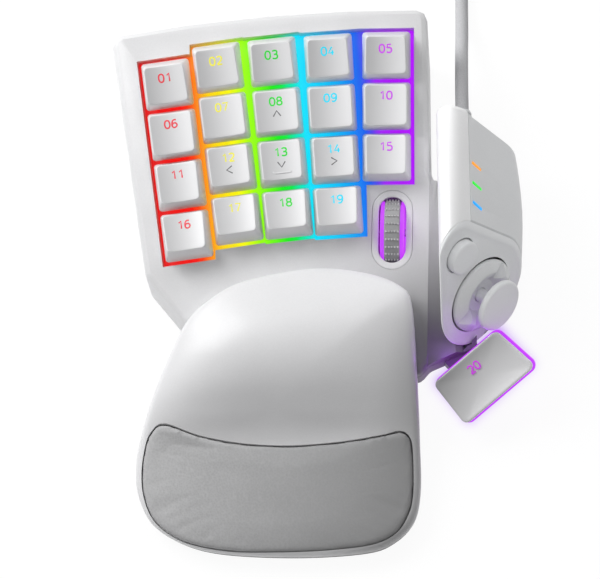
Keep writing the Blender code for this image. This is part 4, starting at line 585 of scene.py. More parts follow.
def model_cap(row):
    """One cap of a row: dished top, crisp rim, tapered sides, hollow below with a square stem."""
    front, rear, height, widened = cap_top(row)
    half_top = ROW_HALF_TOP[row]
    piece = fresh("grid", x_subdivisions=18, y_subdivisions=18, size=2.0)
    bm = edited(piece)
    shares = {}

    def top_place(u, v, outward, drop, corner):
        x, y = rounded_place(u, v, half_top + outward, front - outward, rear + outward, corner)
        x *= widened(y)
        return x, y, height(x, y) - drop

    for corner in bm.verts:
        u, v = corner.co.x, corner.co.y
        if corner.is_boundary:
            shares[corner.index] = (u, v)
        corner.co = top_place(u, v, -0.0003, 0.0, 0.0011)
    bmesh.update_edit_mesh(piece.data)
    loop, places = list(shares), list(shares.values())
    pick(piece, loop)

    def flat(half, z, corner, middle=0.0, half_length=None):
        long = half if half_length is None else half_length
        return [(*rounded_place(u, v, half, middle - long, middle + long, corner), z) for u, v in places]

    for outward, drop, corner in ((-0.00012, 0.00002, 0.0012), (0.0, 0.00009, 0.0013), (0.0001, 0.00022, 0.00135),
                                  (0.00017, 0.0004, 0.0014)):
        loop = grow(piece, loop, [top_place(u, v, outward, drop, corner) for u, v in places])
    middle = (front + rear) / 2
    wall = 0.0013
    for ring in (flat(KEY_HALF_BASE - 0.00005, 0.0005, 0.0012), flat(KEY_HALF_BASE, 0.0002, 0.0012),
                 flat(KEY_HALF_BASE - 0.0002, 0.0, 0.0012), flat(KEY_HALF_BASE - wall, 0.0, 0.0012),
                 flat(half_top - wall, KEY_HEIGHT - 0.0038, 0.0012, middle, (rear - front) / 2 - wall),
                 flat(0.0028, KEY_HEIGHT - 0.0038, 0.0010), flat(0.0028, -0.0067, 0.0010)):
        loop = grow(piece, loop, ring)
    close_loop(piece, loop)
    finished(piece, "cap_of_row_%d" % (row + 1), 40.0)
    across = piece.data.attributes.new("across", "FLOAT", "POINT")
    for corner, value in zip(piece.data.vertices, across.data):
        x, y, z = corner.co
        value.value = min(max(x / half_top, -1.0), 1.0) if z > height(x, y) - 0.00001 else 0.25
    return piece


def stroke(points, smooth=True, closed=False):
    return points, smooth, closed


# Strokes of plain digits in a box 0.64 wide and 1 high
digits = {
    "0": (stroke(((0.32, 1.0), (0.12, 0.92), (0.02, 0.70), (0.0, 0.50), (0.02, 0.30), (0.12, 0.08), (0.32, 0.0),
                  (0.52, 0.08), (0.62, 0.30), (0.64, 0.50), (0.62, 0.70), (0.52, 0.92)), True, True),),
    "1": (stroke(((0.16, 0.78), (0.44, 1.0), (0.44, 0.0)), False),),
    "2": (stroke(((0.02, 0.90), (0.16, 0.985), (0.34, 1.0), (0.54, 0.92), (0.60, 0.73), (0.52, 0.53), (0.30, 0.29),
                  (0.02, 0.02))), stroke(((0.02, 0.0), (0.62, 0.0)), False)),
    "3": (stroke(((0.03, 0.93), (0.18, 0.99), (0.36, 1.0), (0.55, 0.92), (0.60, 0.76), (0.53, 0.60), (0.36, 0.53),
                  (0.20, 0.525))),
          stroke(((0.36, 0.53), (0.56, 0.45), (0.63, 0.27), (0.56, 0.08), (0.36, 0.0), (0.16, 0.01), (0.01, 0.07)))),
    "4": (stroke(((0.42, 1.0), (0.0, 0.27), (0.64, 0.27)), False), stroke(((0.48, 0.55), (0.48, 0.0)), False)),
    "5": (stroke(((0.56, 1.0), (0.10, 1.0), (0.07, 0.58)), False),
          stroke(((0.07, 0.58), (0.22, 0.61), (0.40, 0.60), (0.57, 0.51), (0.63, 0.31), (0.56, 0.09), (0.36, 0.0),
                  (0.17, 0.01), (0.02, 0.07)))),
    "6": (stroke(((0.57, 0.96), (0.38, 1.0), (0.17, 0.91), (0.04, 0.66), (0.01, 0.40), (0.07, 0.13), (0.25, 0.0),
                  (0.46, 0.03), (0.61, 0.18), (0.62, 0.38), (0.49, 0.55), (0.30, 0.58), (0.12, 0.50), (0.02, 0.34)),),),
    "7": (stroke(((0.0, 1.0), (0.62, 1.0), (0.22, 0.0)), False),),
    "8": (stroke(((0.32, 1.0), (0.13, 0.95), (0.05, 0.77), (0.13, 0.59), (0.32, 0.535), (0.51, 0.59), (0.59, 0.77),
                  (0.51, 0.95)), True, True),
          stroke(((0.32, 0.535), (0.10, 0.46), (0.01, 0.26), (0.10, 0.06), (0.32, 0.0), (0.54, 0.06), (0.63, 0.26),
                  (0.54, 0.46)), True, True)),
    "9": (stroke(((0.07, 0.04), (0.26, 0.0), (0.47, 0.09), (0.60, 0.34), (0.63, 0.60), (0.57, 0.87), (0.39, 1.0),
                  (0.18, 0.97), (0.03, 0.82), (0.02, 0.62), (0.15, 0.45), (0.34, 0.42), (0.52, 0.50), (0.62, 0.66)),),),
}
DIGIT_WIDTH = 0.64
DIGIT_STEP = 0.90


def stroke_line(points, smooth, closed):
    """Points of one stroke, rounded where it is a curve."""
    if not smooth:
        return ring_on(Matrix(), points, 0.0)
    knots = ring_on(Matrix(), points, 0.0)
    knots = [knots[-1], *knots, knots[0], knots[1]] if closed else [knots[0], *knots, knots[-1]]
    line = []
    for index in range(1, len(knots) - 2):
        line += [spline_point(*knots[index - 1:index + 3], step / 5) for step in range(5)]
    return line if closed else [*line, knots[-2]]


def inked(name, lines, width, surface, matrix):
    """Strokes laid on a surface: a thin raised line of ink with round ends."""
    curve = bpy.data.curves.new(name, "CURVE")
    curve.dimensions = "3D"
    curve.bevel_depth = width / 2
    curve.bevel_resolution = 2
    curve.use_fill_caps = True
    for points, closed in lines:
        spline = curve.splines.new("POLY")
        spline.points.add(len(points) - 1)
        spline.use_cyclic_u = closed
        for target, point in zip(spline.points, points):
            target.co = (*point, 1.0)
    alone(added(name, curve))
    bpy.ops.object.convert(target="MESH")
    piece = bpy.context.active_object
    for corner in piece.data.vertices:
        x, y, z = corner.co
        corner.co = matrix @ Vector((x, y, surface(x, y) + 0.00002 + z * 0.15))
    soften_shading(piece, 60.0)
    return piece


def number_lines(text, size, middle):
    """The strokes of a number, centred across and round a height."""
    width = DIGIT_STEP * (len(text) - 1) + DIGIT_WIDTH
    lines = []
    for position, digit in enumerate(text):
        for points, smooth, closed in digits[digit]:
            line = stroke_line(points, smooth, closed)
            lines.append(([Vector(((point.x + position * DIGIT_STEP - width / 2) * size,
                                   middle + (point.y - 0.5) * size, 0.0)) for point in line], closed))
    return lines


# Thumb module outlines

MODULE_LOBE = 0.0213
MODULE_TOP_LOBE = 0.0097
MODULE_UNDERSIDE = 0.0043
REAR_UNDERSIDE = 0.0190
SHELL_REAR = 0.0538
SHELL_EDGE = 0.0438
SHELL_WALL = 0.0028
PANEL_DEPTH = 0.0024
PANEL_INSET = PANEL_DEPTH + 2 * GAP


def pod_outline(inset=0.0, panel_inset=0.0, bulge=0.0, every=False):
    """Outline of the module on its face: a small circle above a large one, and the panel's side."""
    lobe, small = MODULE_LOBE - inset, MODULE_TOP_LOBE - inset
    spine = Vector((-0.0005, 0.0308))
    lean = math.atan2(-spine.x, spine.y)
    tangent = math.asin((MODULE_LOBE - MODULE_TOP_LOBE) / spine.length)
    start, end = lean + tangent, lean + math.pi - tangent
    bottom = math.radians(-52.0)
    points = []
    for step in range(25):
        angle = mixed(start, end, step / 24)
        points.append((spine.x + small * math.cos(angle), spine.y + small * math.sin(angle)))
    for step in range(33):
        angle = mixed(end, math.tau + bottom, step / 32)
        points.append((lobe * math.cos(angle), lobe * math.sin(angle)))
    points += panel_side(lobe - panel_inset, small - panel_inset, bulge, start, bottom, spine)
    return [point for index, point in enumerate(points)
            if every or (Vector(point) - Vector(points[index - 1])).length > 3e-5]


def panel_side(lobe, small, bulge, start, bottom, spine):
    points = []
    for step in range(13):
        angle = mixed(bottom, start, step / 12)
        radius = lobe + bulge * min(step / 3, 1.0)
        points.append((radius * math.cos(angle), radius * math.sin(angle)))
    points.append((spine.x + small * math.cos(start), spine.y + small * math.sin(start)))
    return points


def ring_at_depth(outline, depth):
    back = Vector((0.0, depth / -face_normal.y, 0.0))
    return [point + back for point in ring_on(face, outline, 0.0)]


def ring_at_rear(outline, y):
    return [Vector((point.x, y, point.z)) for point in ring_on(face, outline, 0.0)]


def trimmed(ring, lift=0.0):
    """Keep a ring above the module's flat underside and its slanted lower rear edge."""
    kept = []
    for point in ring:
        slant = (point.y - SHELL_EDGE) / (SHELL_REAR - SHELL_EDGE) * (REAR_UNDERSIDE - MODULE_UNDERSIDE)
        kept.append(Vector((point.x, point.y, max(point.z, MODULE_UNDERSIDE + lift + max(slant, 0.0)))))
    return kept


# Palm rest

PALM_CENTRE = (-0.0173, -0.0482)
PALM_WIDTH = 0.1038
PALM_LENGTH = 0.1033
PALM_FRONT_HEIGHT = 0.0088
PALM_HEIGHT = 0.0375
PALM_WALL = 0.0020
palm_shares = (
    (0.130, 0.500), (0.325, 0.478), (0.449, 0.424), (0.486, 0.350), (0.497, 0.080), (0.500, -0.090),
    (0.500, -0.265), (0.476, -0.380), (0.408, -0.452), (0.310, -0.488), (0.080, -0.500), (-0.180, -0.484),
    (-0.330, -0.445), (-0.440, -0.372), (-0.492, -0.270), (-0.500, -0.165), (-0.485, -0.075),
    (-0.444, 0.052), (-0.380, 0.195), (-0.313, 0.318), (-0.236, 0.390), (-0.110, 0.458),
)
cushion_shares = (
    (0.047, -0.119), (0.221, -0.110), (0.369, -0.089), (0.434, -0.075), (0.467, -0.098), (0.4745, -0.165),
    (0.4725, -0.290), (0.456, -0.362), (0.412, -0.428), (0.330, -0.467), (0.176, -0.484), (0.007, -0.487),
    (-0.177, -0.478), (-0.326, -0.442), (-0.425, -0.375), (-0.468, -0.285), (-0.476, -0.190),
    (-0.462, -0.100), (-0.440, -0.057), (-0.395, -0.036), (-0.276, -0.078), (-0.122, -0.108),
)
palm_profile = (
    (0.500, 0.760), (0.455, 0.880), (0.385, 0.975), (0.290, 1.000), (0.180, 0.935), (0.080, 0.770),
    (-0.010, 0.500), (-0.080, 0.270), (-0.150, 0.160), (-0.300, 0.080), (-0.430, 0.020), (-0.500, 0.000),
)
palm_rim = (
    (0.500, 0.740), (0.380, 0.700), (0.200, 0.520), (0.050, 0.330), (-0.080, 0.170), (-0.200, 0.090),
    (-0.350, 0.030), (-0.500, 0.000),
)
PALM_POINTS = 160


def palm_plan(shares, steps):
    points = [(PALM_CENTRE[0] + PALM_WIDTH * across, PALM_CENTRE[1] + PALM_LENGTH * along) for across, along in shares]
    return smooth_outline(points, steps)[::-1]


palm_line = palm_plan(palm_shares, PALM_POINTS)


def edge_share(x, y):
    """How far a point lies from the middle of the palm rest towards its outline, from 0 to 1."""
    centre = Vector(PALM_CENTRE)
    direction = Vector((x, y)) - centre
    distance = direction.length
    if distance < GAP:
        return 0.0
    direction /= distance
    for index, point in enumerate(palm_line):
        start = Vector(point) - centre
        side = Vector(palm_line[(index + 1) % PALM_POINTS]) - Vector(point)
        cross = direction.x * side.y - direction.y * side.x
        if abs(cross) > 0.0:
            along = (start.x * side.y - start.y * side.x) / cross
            share = (start.x * direction.y - start.y * direction.x) / cross
            if along > 0.0 and -0.001 <= share <= 1.001:
                return distance / along
    return 1.0


def palm_height(x, y):
    """Height of the palm rest's top, from its profile along the middle down to its rim."""
    along = (y - PALM_CENTRE[1]) / PALM_LENGTH
    crown = read_profile(palm_profile, along)
    rim = read_profile(palm_rim, along)
    share = min(edge_share(x, y), 1.0)
    return PALM_FRONT_HEIGHT + (PALM_HEIGHT - PALM_FRONT_HEIGHT) * (rim + (crown - rim) * (1.0 - share ** 3))


def over_palm(outline, rise):
    """An outline, laid at a height over the palm rest's top."""
    return [(x, y, palm_height(x, y) + rise) for x, y in outline]


def level(outline, z):
    return [(x, y, z) for x, y in outline]


def drawn_in(outline, inset):
    """Move every edge of an outline inwards."""
    return offset_outline(outline, -inset) if inset else outline


# Settings that a user would change

class CapSettings(bpy.types.PropertyGroup):
    colour: FloatVectorProperty(name="Cap colour", description="Colour of the key caps", subtype="COLOR",
                                default=(0.78, 0.78, 0.79), min=0.0, max=1.0)
    legend_height: FloatProperty(name="Legend height", description="Height of the numbers on the caps",
                                 default=0.00295, unit="LENGTH")
    legend_stroke: FloatProperty(name="Legend stroke", description="Width of the legends' lines",
                                 default=0.00058, unit="LENGTH")
    legend_glow: FloatProperty(name="Legend glow", description="Brightness of the lit numbers", default=1.05)


class GlowSettings(bpy.types.PropertyGroup):
    strength: FloatProperty(name="Glow", description="Brightness of the light between the keys", default=1.0)
    violet: FloatVectorProperty(name="Violet", description="Colour of the wheel's rims and the thumb key's plate",
                                subtype="COLOR", default=(0.50, 0.045, 0.86), min=0.0, max=1.0)
    # The halo is a violet glow painted into the floor's colour beside the thumb key, not light from a lamp.
    halo: FloatVectorProperty(name="Halo", description="Colour of the floor beside the thumb key", subtype="COLOR",
                              default=(0.45, 0.12, 0.92), min=0.0, max=1.0)


class CaseSettings(bpy.types.PropertyGroup):
    white: FloatVectorProperty(name="White", description="Colour of the deck and the module's shell",
                               subtype="COLOR", default=(0.83, 0.83, 0.84), min=0.0, max=1.0)
    grey: FloatVectorProperty(name="Grey", description="Colour of the module's panel and controls",
                              subtype="COLOR", default=(0.80, 0.81, 0.82), min=0.0, max=1.0)
    dark: FloatVectorProperty(name="Dark", description="Colour of the underside", subtype="COLOR",
                              default=(0.035, 0.035, 0.038), min=0.0, max=1.0)


class PalmSettings(bpy.types.PropertyGroup):
    cushion: FloatVectorProperty(name="Cushion colour", description="Colour of the cushion", subtype="COLOR",
                                 default=(0.50, 0.50, 0.505), min=0.0, max=1.0)
    crown: FloatProperty(name="Cushion crown", description="How far the cushion stands above the palm rest",
                         default=0.0013, unit="LENGTH")


class CableSettings(bpy.types.PropertyGroup):
    diameter: FloatProperty(name="Cable diameter", description="Diameter over the braid", default=0.0050,
                            unit="LENGTH")
    strands: IntProperty(name="Strands", description="Strands of the braid each way round the cable", default=8)


def settings(name):
    return getattr(bpy.context.scene, "keypad_" + name)


# Finishes that several pieces share
looks = {}


def shared_look(name):
    """One of the finishes that several pieces share, made at its first use."""
    if name not in looks:
        white, grey, dark = (tuple(getattr(settings("case"), key)) for key in ("white", "grey", "dark"))
        violet = tuple(settings("glow").violet)
        makers = {
            "white": lambda: moulded("matt_white_plastic", white, 0.42),
            "gloss": lambda: moulded("gloss_white_plastic", shaded(white, 1.02), 0.36, 0.1, 0.12),
            # deck: the white with a painted shade that darkens it towards the front right, between the palm rest and
            # the module
            "deck": lambda: moulded("deck_white_plastic", white, 0.42, shade=(0.35, -0.94, -0.015, 0.035, 0.32)),
            # palm: the white with a painted shade that darkens it towards the palm rest's right and front
            "palm": lambda: moulded("palm_white_plastic", white, 0.36, 0.1, 0.12, (1.0, -0.35, 0.031, 0.058, 0.58)),
            # bright: the module shell's white plastic, painted lighter than the deck's to stand in for the strong light
            # on the module
            "bright": lambda: moulded("module_white_painted_lighter", (0.96, 0.96, 0.965), 0.32, 0.1, 0.15),
            "control": lambda: moulded("control_grey_plastic", shaded(grey, 1.13), 0.40),
            "grey": lambda: moulded("light_grey_plastic", grey, 0.42),
            "dark": lambda: moulded("dark_plastic", dark, 0.55),
            "rubber": lambda: moulded("foot_rubber", (0.03, 0.03, 0.032), 0.75, 0.5),
            "violet": lambda: glowing("violet_light_plastic", violet, 1.15, (0.06, 0.02, 0.08)),
            "steel": brushed,
        }
        looks[name] = makers[name]()
    return looks[name]


def brushed():
    """Bright steel with a fine turned grain."""
    look = Look("bright_steel", metallic=1.0)
    grain = look.noise(look.stretched(look.place(), (300.0, 5000.0, 5000.0)), 1.0, 3.0)
    look.set("Base Color", look.blend(grain, (0.52, 0.52, 0.54), (0.66, 0.66, 0.68)))
    look.set("Roughness", grain * 0.2 + 0.18)
    return look.material


class KEYPAD_OT_stage(bpy.types.Operator):
    """Set up the floor, the soft light and the camera"""
    bl_idname = "keypad.stage"
    bl_label = "Stage"

    def execute(self, context):
        back = CAMERA_BACK.normalized()
        right = (CAMERA_RIGHT - back * CAMERA_RIGHT.dot(back)).normalized()
        up = back.cross(right)
        camera = added("camera", bpy.data.cameras.new("camera"))
        camera.data.sensor_width = 36.0
        camera.data.lens = CAMERA_LENS
        spot = CAMERA_TARGET + back
        camera.matrix_world = Matrix(((right.x, up.x, back.x, spot.x), (right.y, up.y, back.y, spot.y),
                                      (right.z, up.z, back.z, spot.z), (0.0, 0.0, 0.0, 1.0)))
        context.scene.camera = camera

        floor = fresh("grid", x_subdivisions=2, y_subdivisions=2, size=8.0)
        bpy.ops.object.mode_set(mode="OBJECT")
        floor.name = "floor"
        floor.data.transform(Matrix.Translation((0.0, 0.0, -0.0002)))
        look = Look("pale_floor", base_color=(0.80, 0.80, 0.81), roughness=0.8)
        light_path = look.node("ShaderNodeLightPath")
        outputs = light_path.socket.node.outputs
        seen = Value(look, outputs["Is Camera Ray"]) + Value(look, outputs["Is Glossy Ray"])
        # Camera-seen floor: plain white, with the thumb key's violet glow painted in beside it.
        white = look.node("ShaderNodeEmission", None, {
            "Color": look.blend(halo(look), (1.0, 1.0, 1.0), tuple(settings("glow").halo)), "Strength": 1.06})
        plain = Value(look, look.shader.outputs[0])
        mix = look.node("ShaderNodeMixShader", None, {0: seen * 0.88, 1: plain, 2: white})
        look.tree.links.new(mix.socket, look.tree.nodes["Material Output"].inputs["Surface"])
        floor.data.materials.append(look.material)

        world = bpy.data.worlds.new("studio")
        world.use_nodes = True
        background = world.node_tree.nodes["Background"].inputs
        background["Color"].default_value = (1.0, 1.0, 1.0, 1.0)
        background["Strength"].default_value = 0.32
        context.scene.world = world
        for name, place, size, power in (("left_softbox", (-0.50, 0.34, 0.56), 0.5, 4.8),
                                         ("rear_softbox", (0.25, 0.9, 1.0), 0.8, 3.0),
                                         ("module_softbox", (0.15, -0.15, 0.80), 0.5, 1.4)):
            lamp = added(name, bpy.data.lights.new(name, "AREA"))
            lamp.data.shape = "SQUARE"
            lamp.data.size = size
            lamp.data.energy = power
            lamp.location = place
            lamp.rotation_euler = (-Vector(place)).to_track_quat("-Z", "Y").to_euler()
            if name == "module_softbox":
                lamp.light_linking.receiver_collection = bpy.data.collections.new("thumb_module")
        for name, place, power in (("ledge_glow", (-0.0060, 0.0135, -0.0060), 0.0007),
                                   ("stick_glow", (0.0110, 0.0125, -0.0065), 0.0006)):
            lamp = added(name, bpy.data.lights.new(name, "POINT"))
            lamp.data.color = (0.38, 0.0, 1.0)
            lamp.data.energy = power
            lamp.data.shadow_soft_size = 0.002
            lamp.location = thumb_key @ Vector(place)
            lamp.visible_camera = False
        context.scene.view_settings.view_transform = "Standard"
        return {"FINISHED"}


def halo(look):
    """How much of a glow from the thumb key is painted on the floor at each place, round the plate as the camera sees
    it over the floor.
    """
    def seen_at(x, y):
        point = thumb_key @ Vector((x, y, -0.0085))
        return (point - CAMERA_BACK * (point.z / CAMERA_BACK.z)).xy

    middle = seen_at(0.0, 0.0)
    along, across = seen_at(0.0168, 0.0) - middle, seen_at(0.0, 0.0102) - middle
    turn = along.x * across.y - along.y * across.x
    x, y, _ = look.parts_of(look.place())
    x, y = x - middle.x, y - middle.y
    first = (x * across.y - y * across.x) / turn
    second = (y * along.x - x * along.y) / turn
    beyond_ends = ((first ** 2.0) ** 0.5 - 0.85).at_least(0.0) * along.length
    beyond_sides = ((second ** 2.0) ** 0.5 - 0.75).at_least(0.0) * across.length
    distance = (beyond_ends ** 2.0 + beyond_sides ** 2.0) ** 0.5
    return (1.0 - distance / 0.0085).at_least(0.0) ** 2.8


class KEYPAD_OT_cable(bpy.types.Operator):
    """Model the braided cable with its coil, tie, strain relief and plug"""
    bl_idname = "keypad.cable"
    bl_label = "Cable"

    def execute(self, context):
        radius = settings("cable").diameter / 2
        points = cable_points()
        piece = braided_tube("cable_braid", points, radius)
        dressed(piece, braid_look(), "base", "cable_braid", "cable", "cable_coil")
        length = sum((after - before).length for before, after in zip(points, points[1:]))
        plug, shell, tie = (
            dressed(eased(copied(node, name), width, segments), shared_look(look), "base", slot, node)
            for node, name, width, segments, look, slot in (
                ("usb_plug_body", "plug_grip", 0.0005, 2, "dark", "plug_plastic"),
                ("usb_plug_shell", "plug_shell", 0.0001, 1, "steel", "steel"),
                ("cable_tie", "coil_tie", 0.0003, 2, "dark", "plug_plastic")))
        place = shift(0.0530, 0.0541, 0.0240) @ rotation(-90.0, "X")
        profile = [(0.0040, 0.0), (0.0042, 0.0003), (0.0042, 0.0032)]
        ribs, spacing, depth = 6, 0.0015, 0.0006
        for rib in range(ribs):
            low = 0.0034 + rib * spacing
            reach = 0.0042 - 0.00015 * rib
            profile += [(reach - depth, low), (reach - depth, low + 0.0005), (reach, low + 0.0007),
                        (reach, low + 0.0013)]
        profile += [(0.0031, 0.0127), (0.0030, 0.0130)]
        relief = turned("strain_relief_boot", profile, place, 48)
        dressed(relief, shared_look("grey"), "base", "plug_plastic", "strain_relief")
        return {"FINISHED"}


cable_route = (
    (0.0530, 0.0674, 0.0240), (0.0530, 0.0748, 0.0237), (0.0531, 0.0826, 0.0218), (0.0532, 0.0904, 0.0180),
    (0.0533, 0.0982, 0.0130), (0.0535, 0.1060, 0.0082), (0.0536, 0.1138, 0.0048), (0.0537, 0.1216, 0.0032),
    (0.0538, 0.1334, 0.0027), (0.0538, 0.1480, 0.0029), (0.0538, 0.1640, 0.0034), (0.0538, 0.1807, 0.0036),
)


def cable_points():
    """The whole line of the cable: from the strain relief down to the desk, then two layers of coil and the plug."""
    knots = [Vector(point) for point in cable_route]
    knots = [knots[0] * 2 - knots[1], *knots, knots[-1] * 2 - knots[-2]]
    dense = []
    for index in range(1, len(knots) - 2):
        dense += [spline_point(*knots[index - 1:index + 3], step / 8) for step in range(8)]
    run = even_points([*dense, knots[-2]], 48)
    turns, per_turn, leave = 5, 48, 0.75
    outer, pitch, height = 0.0430, 0.0056, 0.0036
    centre = Vector((cable_route[-1][0] - outer, 0.1860))

    def place(turn, radius, z):
        angle = math.tau * turn
        return Vector((centre.x + radius * math.cos(angle), centre.y + radius * math.sin(angle), z))

    coil = []
    whole = 2 * turns - leave
    for index in range(1, round(whole * per_turn) + 1):
        turn = index / per_turn
        inward = turn if turn < turns else 2 * turns - turn
        climb = smooth_step((turn - turns) * 2 + 0.5)
        coil.append(place(turn, outer - pitch * inward, height + pitch * climb))
    first = outer - pitch * leave
    tail_steps = 12
    for index in range(1, tail_steps + 1):
        share = index / tail_steps
        radius = mixed(first, outer + 0.0065, smooth_step(share / 0.65))
        z = mixed(height + pitch, 0.0044, smooth_step((share - 0.4) / 0.6))
        coil.append(place(whole + 0.25 * share, radius, z))
    coil.append(coil[-1] + Vector((0.0, -0.0050, 0.0)))
    start = place(0.0, outer, height)
    return [*run, start, *coil] if (run[-1] - start).length > GAP * 3 else [*run[:-1], start, *coil]


BRAID_SIDES = 12


def braided_tube(name, points, radius):
    """A tube along a run of points, with a map that runs round it and along it."""
    rings = []
    direction = (points[1] - points[0]).normalized()
    side = direction.cross(Vector((0.0, 0.0, 1.0))).normalized()
    for index, point in enumerate(points):
        ahead = points[min(index + 1, len(points) - 1)] - points[max(index - 1, 0)]
        ahead.normalize()
        side = (side - ahead * side.dot(ahead)).normalized()
        up = ahead.cross(side)
        rings.append([point + side * across + up * rise for across, rise in circle(radius, BRAID_SIDES)])
    piece = lofted(name, rings, smooth=80.0)
    lengths = [0.0]
    for before, after in zip(points, points[1:]):
        lengths.append(lengths[-1] + (after - before).length)
    ring_of = {}
    for index, ring in enumerate(rings):
        for step, place in enumerate(ring):
            ring_of[tuple(round(part, 6) for part in place)] = (step, lengths[index])
    layer = piece.data.uv_layers.new(name="UVMap")
    for polygon in piece.data.polygons:
        found = []
        for corner in polygon.vertices:
            key = tuple(round(part, 6) for part in piece.data.vertices[corner].co)
            found.append(ring_of.get(key, (0, 0.0)))
        wraps = max(step for step, run in found) - min(step for step, run in found) > BRAID_SIDES / 2
        for loop_index, (step, run) in zip(polygon.loop_indices, found):
            around = step + BRAID_SIDES if wraps and step < BRAID_SIDES / 2 else step
            layer.data[loop_index].uv = (around / BRAID_SIDES, run * 100.0)
    return piece


def braid_look():
    """Woven sleeve: two sets of strands that cross at a slant."""
    look = Look("cable_sleeve")
    strands = settings("cable").strands
    around, along, _ = look.parts_of(look.node("ShaderNodeTexCoord", output="UV"))
    first = (around * (math.tau * strands) + along * (math.tau * 3.2)).sine()
    second = (around * (math.tau * strands) - along * (math.tau * 3.2)).sine()
    weave = first * second * 0.5 + 0.5
    fibre = look.noise(look.place(), 3000.0, 2.0)
    shade = weave * 0.75 + fibre * 0.25
    look.set("Base Color", look.blend(shade.between(0.15, 0.85), linear((0.60, 0.60, 0.61)),
                                      linear((0.92, 0.92, 0.93))))
    look.set("Roughness", shade * 0.2 + 0.6)
    look.bump(shade, 0.6, 0.0002)
    return look.material


class KEYPAD_OT_caps(bpy.types.Operator):
    """Model the nineteen finger caps, one master for each row"""
    bl_idname = "keypad.caps"
    bl_label = "Key caps"

    def execute(self, context):
        look = cap_look(tuple(settings("caps").colour))
        masters = [model_cap(row) for row in range(4)]
        for number, row, _, matrix in key_places():
            piece = masters[row].copy()
            piece.data = masters[row].data.copy()
            piece.name = piece.data.name = "cap_%02d" % number
            context.scene.collection.objects.link(piece)
            piece.data.transform(matrix)
            dressed(piece, look, "key_%02d" % number, "key_caps", "key_%02d" % number)
        for master in masters:
            removed(master)
        return {"FINISHED"}


def cap_look(colour):
    """Satin plastic, a little darker in the half of the dish that faces away from the light."""
    look = Look("cap_plastic")
    across = look.node("ShaderNodeAttribute", {"attribute_name": "across"}, output="Fac")
    look.set("Base Color", look.blend(across.between(-1.3, 1.1), shaded(colour, 0.80), shaded(colour, 1.16)))
    look.grain(0.30, 0.12, 0.1)
    look.set("Coat Roughness", 0.15)
    return look.material


LEGEND_BASE = (0.03, 0.03, 0.03)
legend_colours = ((0.92, 0.22, 0.28), (0.95, 0.93, 0.28), (0.12, 0.86, 0.20), (0.02, 0.86, 0.97), (0.80, 0.28, 0.92))


class KEYPAD_OT_legends(bpy.types.Operator):
    """Lay the lit numbers and the grey arrows on the caps"""
    bl_idname = "keypad.legends"
    bl_label = "Legends"

    def execute(self, context):
        caps = settings("caps")
        lit = [glowing("legend_light_%d" % (column + 1), linear(colour), caps.legend_glow, LEGEND_BASE)
               for column, colour in enumerate(legend_colours)]
        ink = moulded("legend_ink", linear((0.42, 0.42, 0.43)), 0.5)
        size = caps.legend_height
        arrows = {8: 90.0, 12: 180.0, 13: -90.0, 14: 0.0}
        for number, row, column, matrix in key_places():
            front, rear, height, _ = cap_top(row)
            text_row = rear - ROW_LEGEND_DROP[row]
            piece = inked("number_%02d" % number, number_lines("%02d" % number, size, text_row),
                          caps.legend_stroke, height, matrix)
            dressed(piece, lit[column], "key_%02d" % number, "key_caps")
            if number in arrows:
                turn = shift(0.0, text_row - 0.0047, 0.0) @ rotation(arrows[number], "Z")
                points = ring_on(turn, ((-0.0010, 0.0014), (0.0011, 0.0), (-0.0010, -0.0014)), 0.0)
                mark = inked("arrow_%02d" % number, [(points, False)], 0.00042, height, matrix)
                dressed(mark, ink, "key_%02d" % number, "key_caps")
            if number == 13:
                low = front + 0.0025
                points = [Vector((x, low + rise, 0.0)) for x, rise in ((-0.0034, 0.0006), (-0.0031, 0.0001),
                                                                      (-0.0026, 0.0), (0.0026, 0.0),
                                                                      (0.0031, 0.0001), (0.0034, 0.0006))]
                bar = inked("homing_bar", [(points, False)], 0.0005, lambda x, y: height(x, y) + 0.0001, matrix)
                dressed(bar, shared_look("white"), "key_13", "key_caps")
        return {"FINISHED"}


glow_stops = (
    (-60.0, (221, 12, 14)), (-46.0, (244, 10, 12)), (-43.5, (246, 59, 15)), (-40.0, (247, 142, 25)),
    (-36.0, (246, 205, 16)), (-28.0, (246, 246, 14)), (-22.0, (157, 253, 3)), (-17.0, (110, 245, 8)),
    (-11.5, (18, 233, 16)), (-8.0, (10, 231, 60)), (-3.0, (8, 224, 205)), (-0.5, (2, 221, 253)),
    (7.0, (15, 198, 244)), (13.0, (12, 165, 241)), (18.7, (8, 115, 238)), (21.5, (10, 92, 233)),
    (24.0, (80, 68, 230)), (27.0, (160, 38, 241)), (34.0, (170, 14, 243)), (44.0, (178, 2, 252)),
)


def rainbow_look(strength):
    """Light under the keys: one run of colour from left to right, a little slanted like the columns."""
    look = Look("key_light", base_color=(0.05, 0.05, 0.05), roughness=0.5)
    x, y, _ = look.parts_of(look.place())
    low, high = glow_stops[0][0], glow_stops[-1][0]
    share = (x + y * 0.0825) * (1000.0 / (high - low)) + (-low / (high - low))
    stops = [((q - low) / (high - low), linear(tuple(part / 255.0 for part in colour))) for q, colour in glow_stops]
    colour = look.node("ShaderNodeValToRGB", {"stops": stops}, {0: share})
    look.set("Emission Color", colour)
    look.set("Emission Strength", strength)
    return look.material


class KEYPAD_OT_light(bpy.types.Operator):
    """Light the diffuser between the keys"""
    bl_idname = "keypad.light"
    bl_label = "Key light"

    def execute(self, context):
        painted(rainbow_look(settings("glow").strength), "light_diffuser")
        painted(shared_look("white"), "key_frame")
        painted(moulded("dome_rubber", (0.08, 0.08, 0.085), 0.7), "dome_sheet")
        painted(moulded("board_lacquer", (0.01, 0.06, 0.025), 0.35, coat=0.4), "circuit_board")
        return {"FINISHED"}


